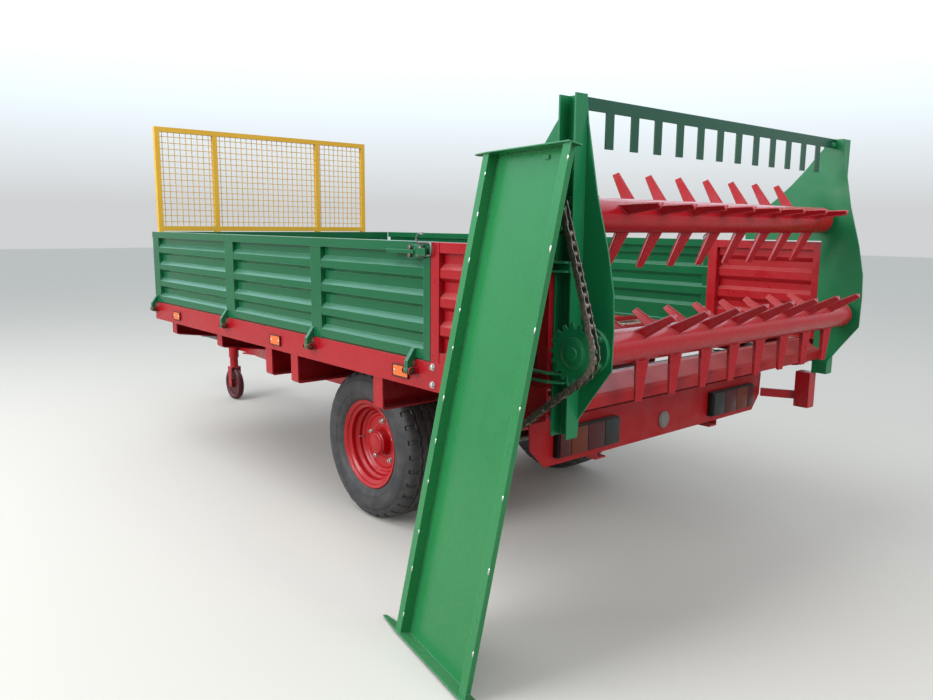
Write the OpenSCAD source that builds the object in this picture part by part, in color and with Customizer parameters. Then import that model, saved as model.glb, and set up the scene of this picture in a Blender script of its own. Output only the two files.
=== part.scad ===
/* [Load box] */
// Half of the width over the drop sides
half_w = 950; // [900:5:1050]
// Height of the load floor above the ground
floor_z = 885; // [860:5:920]
// Height of the drop sides from their bottom edge to the top rail
side_h = 450; // [380:2:520]
// Length of each drop side
side_len = 2882; // [2600:2:3200]
// Front end of the drop sides, ahead of the axle
front_y = 2128; // [2000:2:2400]
// Length of the fixed side behind the drop side
fixed_len = 600; // [500:2:700]
// Depth of a side's frame from outer to inner face
side_depth = 50; // [40:1:60]
// Thickness of pressed and folded sheet
sheet_t = 4; // [3:0.5:6]
// Height step from one pressed rib to the next
rib_pitch = 106; // [95:1:115]
// Depth of a pressed rib
rib_depth = 20; // [12:1:24]

/* [Chassis] */
// Height of the side rails
rail_h = 110; // [95:1:120]
// Height of the cross members under the rails
cross_h = 140; // [120:2:160]
// Height of the two main beams
beam_h = 140; // [120:2:160]
// Half of the distance between the main beams' outer faces
beam_half = 430; // [400:5:450]
// Flange width of the main beams
beam_w = 60; // [50:1:70]
// Height of the towing eye's centre above the ground
eye_z = 430; // [380:5:500]
// Distance of the towing eye's centre ahead of the axle
eye_y = 3600; // [3400:10:3900]
// Diameter of the towing eye's bore
eye_bore = 50; // [40:0.5:60]

/* [Wheels] */
// Radius of the tyre over its tread
tyre_r = 362; // [350:1:375]
// Width of the tyre
tyre_w = 264; // [240:2:280]
// Radius of the rim's outer flange
flange_r = 214; // [200:1:225]
// Half of the track between the tyres' middles
track_half = 618; // [600:2:640]
// Radius of the jockey wheel
jockey_r = 125; // [100:1:140]
// Distance of the jockey wheel ahead of the axle
jockey_y = 2850; // [2800:5:3000]

/* [Beaters] */
// Distance of the lower beater's axis behind the box's rear end
lower_back = 120; // [110:1:135]
// Height of the lower beater's axis
lower_z = 1020; // [1000:1:1040]
// Distance of the upper beater's axis behind the box's rear end
upper_back = 2; // [-10:1:15]
// Height of the upper beater's axis
upper_z = 1440; // [1430:1:1460]
// Radius of the beater tubes
tube_r = 57; // [50:1:65]
// Radius of the circle that the tine tips run on
tip_r = 192; // [180:1:198]
// Step from one tine to the next along a beater
tine_pitch = 190; // [180:1:200]
// Tines in each of a beater's three rows
tines_per_row = 8; // [6:1:8]

/* [Chain drive] */
// Pitch of the drive chain
chain_pitch = 31.75; // [25.4:0.05:31.75]
// Teeth of the driving sprocket
teeth_drive = 13; // [11:1:15]
// Teeth of the lower beater's sprocket
teeth_lower = 17; // [15:1:19]
// Teeth of the upper beater's sprocket
teeth_upper = 13; // [11:1:15]
// Distance of the cross shaft ahead of the box's rear end
shaft_ahead = 410; // [390:1:430]
// Height of the cross shaft and of the input shaft
shaft_z = 592; // [585:1:600]

/* [Mesh screen] */
// Half of the width of the front mesh screen
screen_half = 826; // [800:2:840]
// Height of the mesh screen's frame
screen_h = 683; // [600:1:750]
// Step of the wire grid
wire_pitch = 40; // [36:1:60]
// Depth of the uprights between the front wall and the screen
upright_depth = 195; // [95:5:210]

/* [Chain guard] */
// Width of the loose chain guard over its lips
guard_w = 486; // [430:2:500]
// Height of the rear posts' top above the guard's top edge
guard_below = 164; // [120:2:200]
// Lean of the guard from upright, in degrees
guard_lean = 11.5; // [10:0.1:14]
// Turn of the guard from the machine's side, in degrees
guard_turn = 11.4; // [9:0.2:13]

/* [Hidden] */
$fn = 48;
// Running gap between a pin and its eye
pin_gap = 0.1;
// Gap between faces that lie against each other on different bodies
seat_gap = 0.3;

rail_top = floor_z + 5 + seat_gap;
rail_z = rail_top - rail_h;
cross_z = rail_z - cross_h;
beam_z = cross_z - beam_h;
side_top = rail_top + side_h;
side_rear = front_y - side_len;
post_w = 48;
post_gap = 6;
fixed_front = side_rear - post_gap;
box_rear = fixed_front - fixed_len;
inner_w = half_w - side_depth;

// Places behind the axle, counted from the box's rear end
lower_y = lower_back - box_rear;
upper_y = upper_back - box_rear;
cross_y = -box_rear - shaft_ahead;

// Rear plates, with the green posts outside them
plate_x = half_w - 76;
plate_t = 5;
post_y = box_rear - seat_gap;
rear_post_y = 70;
rear_post_out = half_w - 20;
plate_top = 1800;
plate_foot = 730;

// Rows of a beater's tines: angle of the row about the axis, shift of its first tine along it
LOWER_ROWS = [[268, 12], [148, -12], [28, 40]];
UPPER_ROWS = [[52, -12], [172, 12], [292, 60]];

drive_x = half_w + 15;
chain_half = 12.8;

// Everything is drawn with the axle at y = 0 and the ground at z = 0, then moved to the towing eye
module place() {
    translate([0, -eye_y, -eye_z]) children();
}

module both_sides() {
    children();
    mirror([1, 0, 0]) children();
}

// A box between two corners
module span(a, b) {
    translate([min(a[0], b[0]), min(a[1], b[1]), min(a[2], b[2])])
        cube([abs(a[0] - b[0]), abs(a[1] - b[1]), abs(a[2] - b[2])]);
}

// A shape drawn in Y (to the right) and Z (up), as thick as t towards +X
module yz_sheet(t) {
    rotate([90, 0, 90]) linear_extrude(t) children();
}

// A shape drawn in X (to the right) and Z (up), as long as len towards +Y
module xz_bar(len) {
    translate([0, len, 0]) rotate([90, 0, 0]) linear_extrude(len) children();
}

// A channel that opens upwards: w wide, d deep
module channel(w, d, t) {
    polygon([[0, 0], [w, 0], [w, d], [w - t, d], [w - t, t], [t, t], [t, d], [0, d]]);
}

// A shaft along X from x0 to x1
module x_shaft(x0, x1, r) {
    translate([x0, 0, 0]) rotate([0, 90, 0]) cylinder(r = r, h = x1 - x0);
}

module u_profile(w, h, t) {
    polygon([[0, 0], [w, 0], [w, t], [t, t], [t, h - t], [w, h - t], [w, h], [0, h]]);
}

// Two channel beams along the machine, their open sides facing each other
module main_beams() color("firebrick") place() {
    beam_rear = -light_y + seat_gap;
    shaft_hole = 36;
    both_sides() difference() {
        translate([-beam_half, beam_rear, beam_z])
            xz_bar(beam_front - beam_rear) u_profile(beam_w, beam_h, 7);
        translate([-beam_half, -cross_y, shaft_z]) x_shaft(-5, 20, shaft_hole);
    }
}

// Cross members: their middle along the machine, and whether their ends hang below the rail
cross_w = 66;
gear_half = 95;
light_y = -box_rear - 214;
beam_front = 1290;
rear_cross = -(cross_y + gear_half + cross_w / 2 + seat_gap);
CROSS_TABLE = [[front_y - 228, false], [beam_front - 70, false], [574, true], [310, true], [-397, true],
               [rear_cross, false]];
module cross_member(hanging) {
    reach = half_w - (hanging ? 8 : 30);
    end_z = hanging ? 0 : 60;
    knee = beam_half + 60;
    t = 8;
    outer = [[-reach, cross_h], [-reach, end_z + 10], [-reach + 12, end_z], [-knee, 0]];
    inner = [[-reach + t, cross_h - t], [-reach + t, end_z + t + 6], [-reach + 14, end_z + t], [-knee, t]];
    difference() {
        translate([0, -cross_w / 2, 0]) xz_bar(cross_w) polygon(mirrored(outer));
        translate([0, -cross_w / 2 - 5, 0]) xz_bar(cross_w) polygon(mirrored(inner));
    }
}
// A half outline at negative x, closed with its mirror image
function mirrored(half) = concat(half, [for (i = [len(half) - 1 : -1 : 0]) [-half[i][0], half[i][1]]]);
module cross_members() color("firebrick") place()
    for (c = CROSS_TABLE) translate([0, c[0], cross_z]) cross_member(c[1]);

// Side rails: channels under the load floor's edges, with the pins that the drop sides turn on
pin_x = half_w + 27;
pin_z = 847;
pin_r = 8;
// Places of the hinge arms, from a drop side's rear end
ARM_FROM_REAR = [98, 864, 1790, side_len - 32];
ARM_Y = [for (a = ARM_FROM_REAR) side_rear + a];
ear_t = 8;
arm_t = 20;
module side_rail() {
    difference() {
        translate([-half_w, box_rear, rail_z]) xz_bar(front_y + 6 - box_rear) u_profile(60, rail_h, 5);
        translate([-half_w, conv_rear, conv_z]) x_shaft(-5, 20, 18 + seat_gap);
    }
    for (y = ARM_Y) translate([0, y, 0]) {
        for (s = [-1, 1]) translate([-half_w + 0.5, s * (arm_t / 2 + 1.5 + ear_t / 2) - ear_t / 2, pin_z])
            yz_ear();
        translate([-pin_x, arm_t / 2 + 12, pin_z]) rotate([90, 0, 0]) cylinder(r = pin_r, h = arm_t + 24);
    }
}
module yz_ear() {
    reach = pin_x - half_w + 12;
    translate([-reach, ear_t, -14]) rotate([90, 0, 0]) linear_extrude(ear_t)
        polygon([[0, 6], [8, 0], [reach, 0], [reach, 28], [8, 28], [0, 22]]);
}
module side_rails() color("firebrick") place() both_sides() side_rail();

module front_rail() color("firebrick") place()
    translate([-half_w + 60.5, front_y - 60, rail_z])
        difference() {
            cube([2 * half_w - 121, 66, rail_h - 6]);
            translate([-1, -1, 6]) cube([2 * half_w - 119, 60, rail_h - 18]);
        }

// Drawbar: two channels that run together and down from the main beams' front ends, and a box head
arm_head_y = 2700;
arm_h = 120;
head_half = 60;
head_front = 3160;
// Bottom of the head, level with the towing eye, below the line of the input shaft
head_z = eye_z - 40;
arm_drop = beam_z - head_z;
arm_run = arm_head_y - beam_front;
module drawbar_arm() {
    spread = beam_half - 62;
    len = norm([arm_run, spread]);
    difference() {
        translate([-beam_half, beam_front - 20, beam_z])
            rotate([-atan2(arm_drop, len), 0, -atan2(spread, arm_run)])
                xz_bar(len) u_profile(58, arm_h, 7);
        span([-beam_half - 40, beam_front - 60, beam_z - 20], [0, beam_front + seat_gap, beam_z + arm_h + 20]);
    }
}
module drawbar() color("firebrick") place() {
    plate_half = 90;
    lap = 2;
    wall = 8;
    difference() {
        both_sides() drawbar_arm();
        translate([-head_half + lap, arm_head_y - 29, head_z - 20]) cube([2 * (head_half - lap), 200, arm_h + 40]);
    }
    // gusset plates over and under the joint
    translate([0, arm_head_y, head_z]) rotate([-atan2(arm_drop, arm_run), 0, 0])
        for (z = [-wall, arm_h - lap]) span([-plate_half, -180, z], [plate_half, 20, z + wall + lap]);
    // box head that holds the eye's shank
    difference() {
        span([-head_half, arm_head_y - 31, head_z + 0.5], [head_half, head_front, head_z + arm_h - 0.5]);
        translate([-head_half + wall, arm_head_y - 60, head_z + wall])
            cube([2 * (head_half - wall), head_front - arm_head_y + 40, arm_h - 2 * wall]);
    }
}

module towing_eye() color("dimgray") place() {
    ring_r = 52;
    ring_t = 30;
    shank_y = head_front + seat_gap;
    difference() {
        union() {
            translate([0, eye_y, eye_z - ring_t / 2]) cylinder(r = ring_r, h = ring_t);
            span([-32, eye_y - 260, eye_z - ring_t / 2], [32, eye_y, eye_z + ring_t / 2]);
            span([-50, shank_y, head_z + 4], [50, shank_y + 24, head_z + arm_h - 6]);
            translate([-25, shank_y + 10, eye_z]) yz_sheet(50)
                polygon([[0, -30], [210, -14], [210, 14], [60, 44], [0, head_z + arm_h - 14 - eye_z]]);
        }
        translate([0, eye_y, eye_z - ring_t]) cylinder(d = eye_bore, h = 2 * ring_t);
    }
}

// Jack leg: sleeve on the drawbar, inner tube and the fork over the jockey wheel
sleeve_r = 38;
jack_x = -head_half - seat_gap - 6 - sleeve_r + 1;
module jack_leg() color("firebrick") place() translate([jack_x, jockey_y, 0]) {
    wheel_half = 26;
    leg_r = 31.5;
    sleeve_top = head_z + arm_h + 250;
    sleeve_bottom = head_z - 50;
    fork_z = 2 * jockey_r + 6;
    difference() {
        translate([0, 0, sleeve_bottom]) cylinder(r = sleeve_r, h = sleeve_top - sleeve_bottom);
        translate([0, 0, sleeve_bottom - 1]) cylinder(r = leg_r - 0.5, h = sleeve_top - sleeve_bottom - 20);
    }
    // flange plate against the drawbar's head
    span([sleeve_r - 1, -70, head_z + 4], [sleeve_r + 5, 70, head_z + arm_h - 4]);
    translate([0, 0, fork_z + 8]) cylinder(r = leg_r, h = sleeve_bottom + 60 - fork_z);
    translate([-wheel_half - 14, -34, fork_z]) cube([2 * wheel_half + 28, 68, 9]);
    for (s = [-1, 1]) translate([s * (wheel_half + 10) - 4, 0, 0]) yz_sheet(8)
        polygon([[-34, fork_z + 8], [34, fork_z + 8], [24, jockey_r - 14], [8, jockey_r - 26],
                 [-8, jockey_r - 26], [-24, jockey_r - 14]]);
    translate([0, 0, jockey_r]) x_shaft(-wheel_half - 16, wheel_half + 16, 10);
    // crank at the sleeve's top
    crank_len = 130;
    translate([0, 0, sleeve_top - 1]) cylinder(r = 12, h = 46);
    translate([-crank_len, -12, sleeve_top + 32]) cube([crank_len + 10, 24, 10]);
    translate([-crank_len + 12, 0, sleeve_top + 41]) cylinder(r = 11, h = 90);
}

module jockey_wheel() color("darkred") place() translate([jack_x, jockey_y, jockey_r]) {
    half = 26;
    rotate([0, 90, 0]) rotate_extrude($fn = 64)
        polygon([[10 + pin_gap, -half], [34, -half], [34, -14], [92, -10], [100, -half + 4],
                 [jockey_r - 6, -half + 4], [jockey_r, -12], [jockey_r, 12], [jockey_r - 6, half - 4],
                 [100, half - 4], [92, 10], [34, 14], [34, half], [10 + pin_gap, half]]);
}

// Axle: square beam with round stubs
stub_r = 30;
hub_in = track_half - 92;
module axle_beam() color("firebrick") place() translate([0, 0, tyre_r]) {
    span([-hub_in + 30, -35, -35], [hub_in - 30, 35, 35]);
    both_sides() x_shaft(-track_half - 20, -hub_in + 30, stub_r);
}
module axle_mounts() color("firebrick") place()
    both_sides() translate([-beam_half + 4, 0, 0]) difference() {
        yz_sheet(50) polygon([[-150, beam_z], [150, beam_z], [60, tyre_r - 30], [-60, tyre_r - 30]]);
        translate([8, -200, tyre_r - 60]) cube([34, 400, beam_z - tyre_r + 52]);
        translate([-10, -35, tyre_r - 60]) cube([70, 70, 95]);
    }

// Wheel profiles: radius and place along the axle, outwards positive, from the tyre's middle
rim_half = 111;
module rim_profile() {
    polygon([
        [stub_r + pin_gap, -96], [70, -96], [70, 0], [138, 8], [160, 24], [160, -20], [176, -40],
        [176, -88], [194, -98], [196, -rim_half], [flange_r, -rim_half], [flange_r, -rim_half + 6],
        [202, -rim_half + 8], [200, -94], [182, -84], [182, -40], [166, -20], [166, 46], [182, 62],
        [182, 84], [200, 94], [202, rim_half - 8], [flange_r, rim_half - 6], [flange_r, rim_half],
        [196, rim_half], [194, 98], [176, 88], [176, 66], [160, 50], [160, 36], [136, 20], [72, 14],
        [62, 22], [58, 60], [44, 72], [0, 76], [0, 26], [stub_r + pin_gap, 26]
    ]);
}
module rim() {
    rotate([0, -90, 0]) rotate_extrude($fn = 96) rim_profile();
    nut_circle = 102;
    for (i = [0 : 5]) rotate([i * 60 + 10, 0, 0]) translate([-30, nut_circle, 0])
        rotate([0, 90, 0]) cylinder(r = 11, h = 20, $fn = 6);
}
module tyre_profile() {
    th = tyre_w / 2;
    half = [[202.4, 90], [202.4, 101], [214.6, 102], [240, th - 8], [290, th], [tyre_r - 14, th - 22],
            [tyre_r, th - 56]];
    inside = [[330, -90], [330, 90]];
    polygon(concat([for (p = half) [p[0], -p[1]]], [for (i = [len(half) - 1 : -1 : 0]) half[i]],
                   [[236, 108]], [inside[1], inside[0]], [[236, -108]]));
}
module tyre() rotate([0, -90, 0]) rotate_extrude($fn = 32) tyre_profile();
module wheel_at(side) place() translate([side * track_half, 0, tyre_r])
    mirror([side > 0 ? 1 : 0, 0, 0]) children();
module rim_left() color("crimson") wheel_at(-1) rim();
module tyre_left() color([0.1, 0.1, 0.1]) wheel_at(-1) tyre();
module rim_right() color("crimson") wheel_at(1) rim();
module tyre_right() color([0.1, 0.1, 0.1]) wheel_at(1) tyre();

// Load floor, with the slots that the conveyor passes through at both ends
conv_front = front_y - 138;
conv_rear = box_rear + 138;
conv_r = 36;
strand_x = half_w - 390;
slat_half = half_w - 150;
module floor_plate() color("firebrick") place() {
    y0 = conv_rear + 48;
    y1 = conv_front - 48;
    edge = half_w - 40;
    span([-edge, y0, floor_z - 5], [edge, y1, floor_z]);
    // edge strips beside the slots, tucked under the rails' top flanges
    both_sides() span([-edge, -apron_front + 4, floor_z - 5], [-slat_half - 30, front_y - 62, floor_z]);
}

// Conveyor: two strands with slats, one closed loop
strand_t = 10;
conv_z = floor_z + seat_gap + strand_t / 2 - conv_r;
SLAT_STEP = 260;
module conveyor() color("brown") place() {
    for (x = [-strand_x, strand_x]) translate([x - 14, 0, conv_z]) yz_sheet(28) difference() {
        conv_outline(conv_r + strand_t / 2);
        conv_outline(conv_r - strand_t / 2);
    }
    n = floor((conv_front - conv_rear - 80) / SLAT_STEP);
    for (i = [0 : n]) {
        y = conv_rear + 60 + i * SLAT_STEP;
        translate([0, y, conv_z + conv_r + strand_t / 2 - 0.5]) slat();
        if (i < n) translate([0, y + SLAT_STEP / 2, conv_z - conv_r - strand_t / 2 + 0.5]) mirror([0, 0, 1]) slat();
    }
}
module conv_outline(r) {
    translate([conv_rear, -r]) square([conv_front - conv_rear, 2 * r]);
    translate([conv_rear, 0]) circle(r);
    translate([conv_front, 0]) circle(r);
}
module slat() {
    translate([-slat_half, 0, 0]) yz_sheet(2 * slat_half)
        polygon([[-20, 0], [20, 0], [20, 20], [15, 20], [15, 5], [-15, 5], [-15, 20], [-20, 20]]);
}
module conveyor_shafts() color("dimgray") place()
    for (y = [conv_rear, conv_front]) translate([0, y, conv_z]) {
        x_shaft(y < 0 ? -half_w : -half_w + 5 + seat_gap, y < 0 ? half_w + 40 : half_w - 5 - seat_gap, 18);
        for (x = [-strand_x, strand_x]) x_shaft(x - 12, x + 12, conv_r - strand_t / 2 - seat_gap);
        if (y < 0) translate([half_w + 12, 0, 0]) yz_sheet(12) ratchet_wheel();
    }
ratchet_teeth = 24;
module ratchet_wheel() {
    step = 360 / ratchet_teeth;
    polygon([for (i = [0 : ratchet_teeth - 1]) each
        [[96 * cos(i * step), 96 * sin(i * step)], [82 * cos((i + 0.9) * step), 82 * sin((i + 0.9) * step)]]]);
}

// Ratchet wheel on the rear shaft's right end, with the round guard over it
module ratchet_guard() color("firebrick") place() translate([half_w + seat_gap, conv_rear, conv_z]) {
    yz_sheet(4) difference() {
        union() {
            circle(118);
            translate([-60, 0]) square([120, 60]);
        }
        circle(24);
    }
    yz_sheet(34) difference() {
        circle(118);
        circle(114);
        translate([-130, 0]) square([260, 130]);
    }
}

// Ribs of a pressed panel: height below the top where each rib's upper slope starts
rib_first = 76;
RIB_TOPS = [for (i = [0 : 2]) rib_first + i * rib_pitch];
rib_slope = 20;
rib_face = 32;
rib_under = 16;
// Section of a pressed wall, x out of the panel, z down from its top edge
function rib_line(out) = [for (t = RIB_TOPS) each [
    [0, -t], [out, -t - rib_slope], [out, -t - rib_slope - rib_face], [0, -t - rib_slope - rib_face - rib_under]]];
module pressed_section(h) {
    front = concat([[0, 0]], rib_line(rib_depth), [[0, -h]]);
    back = [for (i = [len(front) - 1 : -1 : 0]) [front[i][0] - sheet_t, front[i][1]]];
    polygon(concat(front, back));
}

// Drop side in a frame of its own: x = 0 at the outer face, outwards negative, z = 0 at the bottom
top_rail_h = 38;
module side_panel(length, rails) {
    translate([rib_depth + 4, 0, side_h - 1]) mirror([1, 0, 0]) xz_bar(length) pressed_section(side_h - 2);
    // top rail and bottom rail
    difference() {
        translate([0, 0, side_h - top_rail_h]) cube([side_depth, length, top_rail_h]);
        translate([4, 6, side_h - top_rail_h + 4]) cube([side_depth - 8, length - 12, top_rail_h - 8]);
    }
    back = rib_depth + 6;
    translate([2, 0, 0]) xz_bar(length)
        polygon([[0, 8], [6, 0], [side_depth - 2, 0], [side_depth - 2, 12], [back, 12], [back, 62], [rib_depth, 62],
                 [0, 44]]);
    for (r = rails) translate([2 - r[2], r[0], 2]) cube([20 + r[2], r[1], side_h - 30]);
}
// Posts on a drop side: place from its rear end, width, how far they stand out
SIDE_POSTS = [[0, 41, 0], [790, 88, 0], [1695, 100, 0], [side_len - 98, 94, 0]];
module drop_side() {
    translate([-half_w, side_rear + 1, rail_top + 1]) side_panel(side_len - 2, SIDE_POSTS);
    for (y = ARM_Y) translate([0, y, 0]) hinge_arm();
    translate([-half_w, side_rear, side_top]) latch();
}
module hinge_arm() {
    eye_r = 15;
    translate([0, arm_t / 2, 0]) difference() {
        rotate([90, 0, 0]) linear_extrude(arm_t) union() {
            polygon([[-pin_x - 12, pin_z], [-pin_x + 12, pin_z], [-pin_x + 15, rail_top - 8],
                     [-half_w + 5, rail_top + 6], [-half_w + 5, rail_top + 44], [-half_w - 5, rail_top + 44],
                     [-pin_x - 12, rail_top - 4]]);
            translate([-pin_x, pin_z]) circle(eye_r);
        }
        translate([-pin_x, 1, pin_z]) rotate([90, 0, 0]) cylinder(r = pin_r + pin_gap, h = arm_t + 2);
    }
}
// Lever latch near the rear top corner
module latch() {
    span([-8, 30, -60], [2, 120, -12]);
    translate([-14, 60, -36]) rotate([0, 90, 0]) cylinder(r = 20, h = 12);
    span([-20, 76, -44], [-10, 250, -30]);
    span([-20, 6, -50], [-8, 50, -22]);
}
module drop_side_left() color("seagreen") place() drop_side();
module drop_side_right() color("seagreen") place() mirror([1, 0, 0]) drop_side();

// Fixed side behind each drop side, with the same ribs, and its post at the drop side
module fixed_side() {
    y0 = box_rear + 1;
    len = fixed_len - post_w - 2;
    translate([-half_w, y0, 0]) {
        translate([rib_depth + 4, 0, side_top - 1]) mirror([1, 0, 0]) xz_bar(len) pressed_section(side_h - 22);
        difference() {
            translate([2, 0, side_top - top_rail_h]) cube([side_depth - 2, len, top_rail_h]);
            translate([6, 6, side_top - top_rail_h + 4]) cube([side_depth - 10, len - 12, top_rail_h - 8]);
        }
        translate([2, 0, rail_top + 0.5]) cube([side_depth - 2, len, 40]);
        translate([2, 0, rail_top + 30]) cube([side_depth - 2, 44, side_h - 60]);
    }
}
module fixed_side_left() color("firebrick") place() fixed_side();
module fixed_side_right() color("firebrick") place() mirror([1, 0, 0]) fixed_side();
module fixed_posts() color("crimson") place() both_sides()
    span([-half_w, fixed_front - post_w, rail_top + 0.5], [-half_w + side_depth, fixed_front, side_top]);

// Front wall with upright channels outside
wall_half = inner_w;
module front_wall() color("seagreen") place() translate([0, front_y + 6.5, rail_top + 0.5]) {
    translate([-wall_half + 40, sheet_t, 0]) rotate([0, 0, -90])
        translate([0, 0, side_h - 1]) xz_bar(2 * wall_half - 80) pressed_section(side_h - 2);
    span([-wall_half, 0, side_h - 46], [wall_half, 46, side_h]);
    span([-wall_half, 0, -rail_h + 10], [wall_half, 46, 12]);
    for (x = [-wall_half, wall_half - 44]) translate([x, 0, 6]) cube([44, 46, side_h - 20]);
    for (x = SCREEN_POSTS) translate([x - 25, 10, 6]) difference() {
        cube([50, upright_depth, side_h - 60]);
        translate([6, -1, 6]) cube([38, upright_depth - 5, side_h - 72]);
    }
}

// Mesh screen on the front wall's uprights: places of its posts across the machine
SCREEN_POSTS = [-screen_half + 16, -screen_half * 0.5, screen_half * 0.48, screen_half - 16];
screen_y = front_y + 6.5 + 10 + upright_depth + seat_gap;
screen_z = side_top + 4;
module mesh_screen() color("goldenrod") place() translate([0, screen_y, 0]) {
    bar = 32;
    wire = 4;
    for (x = SCREEN_POSTS) span([x - bar / 2, 0, side_top - 240], [x + bar / 2, bar, screen_z + screen_h]);
    for (z = [screen_z, screen_z + screen_h - bar])
        span([-screen_half, 0, z], [screen_half, bar, z + bar]);
    wx = screen_half - 50;
    for (x = [-wx : wire_pitch : wx]) span([x - wire / 2, 8, screen_z + 10], [x + wire / 2, 8 + wire, screen_z + screen_h - 10]);
    for (z = [screen_z + wire_pitch + 20 : wire_pitch : screen_z + screen_h - bar])
        span([-screen_half + 10, 9 + wire, z], [screen_half - 10, 9 + 2 * wire, z + wire]);
}

// Outline of a rear plate, seen from the side: distance behind the box's rear end, height
PLATE_REAR = [[65, plate_top], [76, 1715], [120, 1500], [170, 1330], [197, 1200], [202, 1100],
              [200, 965], [140, 885], [72, 790], [68, plate_foot]];
// Its wing over the box: distance ahead of the box's rear end, height
PLATE_WING = [[382, side_top + 6], [386, 1402], [326, 1466], [236, 1537], [160, 1606], [97, 1673],
              [62, 1717], [23, 1762], [15, plate_top]];
module plate_outline() polygon(concat(
    [for (p = PLATE_REAR) [box_rear - p[0], p[1]]],
    [[post_y, plate_foot], [post_y, side_top + 6]],
    [for (p = PLATE_WING) [box_rear + p[0], p[1]]]));
module rear_plate() {
    hole = 34;
    difference() {
        translate([-plate_x - plate_t, 0, 0]) yz_sheet(plate_t) plate_outline();
        for (c = [[lower_y, lower_z], [upper_y, upper_z]])
            translate([-plate_x, -c[0], c[1]]) x_shaft(-10, 10, hole);
    }
    // channel post outside the plate, open to the outside
    difference() {
        translate([-plate_x - plate_t + 0.5, post_y - rear_post_y, plate_foot]) rotate([0, 0, 90])
            linear_extrude(plate_top - 2 - plate_foot) channel(rear_post_y, rear_post_out - plate_x - plate_t + 0.5, 6);
        translate([-plate_x, -lower_y, lower_z]) x_shaft(-80, 0, 76);
        translate([-plate_x, -upper_y, upper_z]) x_shaft(-80, 0, 60);
    }
}
module rear_plate_left() color("seagreen") place() {
    rear_plate();
    for (z = LUG_Z) translate([-rear_post_out, post_y - rear_post_y, z]) guard_lug();
}
// Forks on the left post that the guard bolts to when it is fitted: height of each one's lower prong
LUG_Z = [1262, 912];
module guard_lug() {
    prong = 6;
    gap = 22;
    reach = rear_post_y + 96;
    out = half_w - rear_post_out + 1;
    side_y = rear_post_y + seat_gap;
    for (z = [0, gap + prong]) translate([0, 0, z]) linear_extrude(prong)
        polygon([[1, 4], [1, side_y - 2], [-out, side_y - 2], [-out, reach], [-out - 21, reach],
                 [-out - 21, rear_post_y - 16], [2 - out, 8]]);
    translate([-prong, 0, 0]) cube([prong + 1, rear_post_y, gap + 2 * prong]);
}
module rear_plate_right() color("seagreen") place() mirror([1, 0, 0]) rear_plate();

shaft_r = 20;
// Bearing flanges: distance behind the axle, height, flange radius
BEARINGS = [[lower_y, lower_z, 74], [upper_y, upper_z, 58]];
module bearings() color("seagreen") place() both_sides() for (b = BEARINGS)
    translate([0, -b[0], b[1]]) difference() {
        union() {
            x_shaft(-plate_x - plate_t - seat_gap - 14, -plate_x - plate_t - seat_gap, b[2]);
            x_shaft(-plate_x - plate_t - 34, -plate_x - plate_t - seat_gap, 34);
        }
        x_shaft(-plate_x - 60, -plate_x, shaft_r + pin_gap);
    }

// Crossbar between the plates with its comb of strips
module crossbar() color("seagreen") place() {
    n = 12;
    pitch = 130;
    translate([0, box_rear - 28, 0]) {
        half = plate_x - seat_gap;
        span([-half, 0, plate_top - 40], [half, 5, plate_top]);
        span([-half, 0, plate_top - 5], [half, 40, plate_top]);
        for (i = [0 : n - 1]) {
            x = (i - (n - 1) / 2) * pitch;
            span([x - 20, 0, plate_top - 152], [x + 20, 5, plate_top - 30]);
        }
    }
}

// Apron behind the floor, along its outer face: distance behind its front edge, height over the floor
apron_front = -box_rear - 88;
APRON = [[0, -6], [18, 3], [40, 1], [113, -39], [121, -49], [121, -85]];
apron_t = 5;
module rear_apron() color("crimson") place() {
    half = plate_x - seat_gap;
    n = len(APRON) - 1;
    outer = [for (p = APRON) [-p[0], p[1]]];
    inner = [for (i = [n : -1 : 0]) [outer[i][0] + apron_t, outer[i][1] - (i == n ? 0 : apron_t)]];
    translate([-half, -apron_front, floor_z]) yz_sheet(2 * half) polygon(concat(outer, inner));
}

// Plate that carries the lamps, with bevelled lower corners
bar_left = half_w - 138;
bar_right = half_w - 154;
bar_top = 705;
bar_foot = 530;
module light_bar() color("crimson") place() {
    translate([0, -light_y - 5, 0]) xz_bar(5)
        polygon([[-bar_left, bar_top], [-bar_left + 7, bar_foot + 76], [-bar_left + 83, bar_foot],
                 [bar_right - 67, bar_foot], [bar_right - 6, bar_foot + 70], [bar_right, bar_top]]);
    span([-bar_left, -light_y - 1, bar_top - 5], [bar_right, -light_y + 30, bar_top]);
}
lamp_x = half_w - 440;
lamp_half = 175;
lamp_z = (bar_top + bar_foot) / 2 - 2.5;
module lamps() color("darkred") place() both_sides()
    translate([-lamp_x, -light_y - 5 - seat_gap, lamp_z]) span([-lamp_half, -36, -55], [lamp_half, 0, 55]);

// Leg under the right post and the bar to it, which hold the floor feed's lever
module feed_bracket() color("firebrick") place() {
    leg_w = 60;
    leg_in = plate_x - 29;
    span([leg_in, box_rear - 10, bar_foot + 30], [leg_in + leg_w, box_rear + 60, plate_foot - seat_gap]);
    from = [bar_right + seat_gap, -light_y - 8];
    to = [leg_in + 37, box_rear + 37];
    translate([from[0], from[1], bar_foot + 60]) rotate([0, 0, atan2(to[1] - from[1], to[0] - from[0])])
        cube([norm(to - from), 12, 40]);
}

REFLECTOR_Y = [1762, 476, -574];
module reflectors() color("orangered") place() both_sides() for (y = REFLECTOR_Y)
    span([-half_w - 7, y - 48, rail_z + 30], [-half_w - seat_gap, y + 48, rail_z + 72]);

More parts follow.
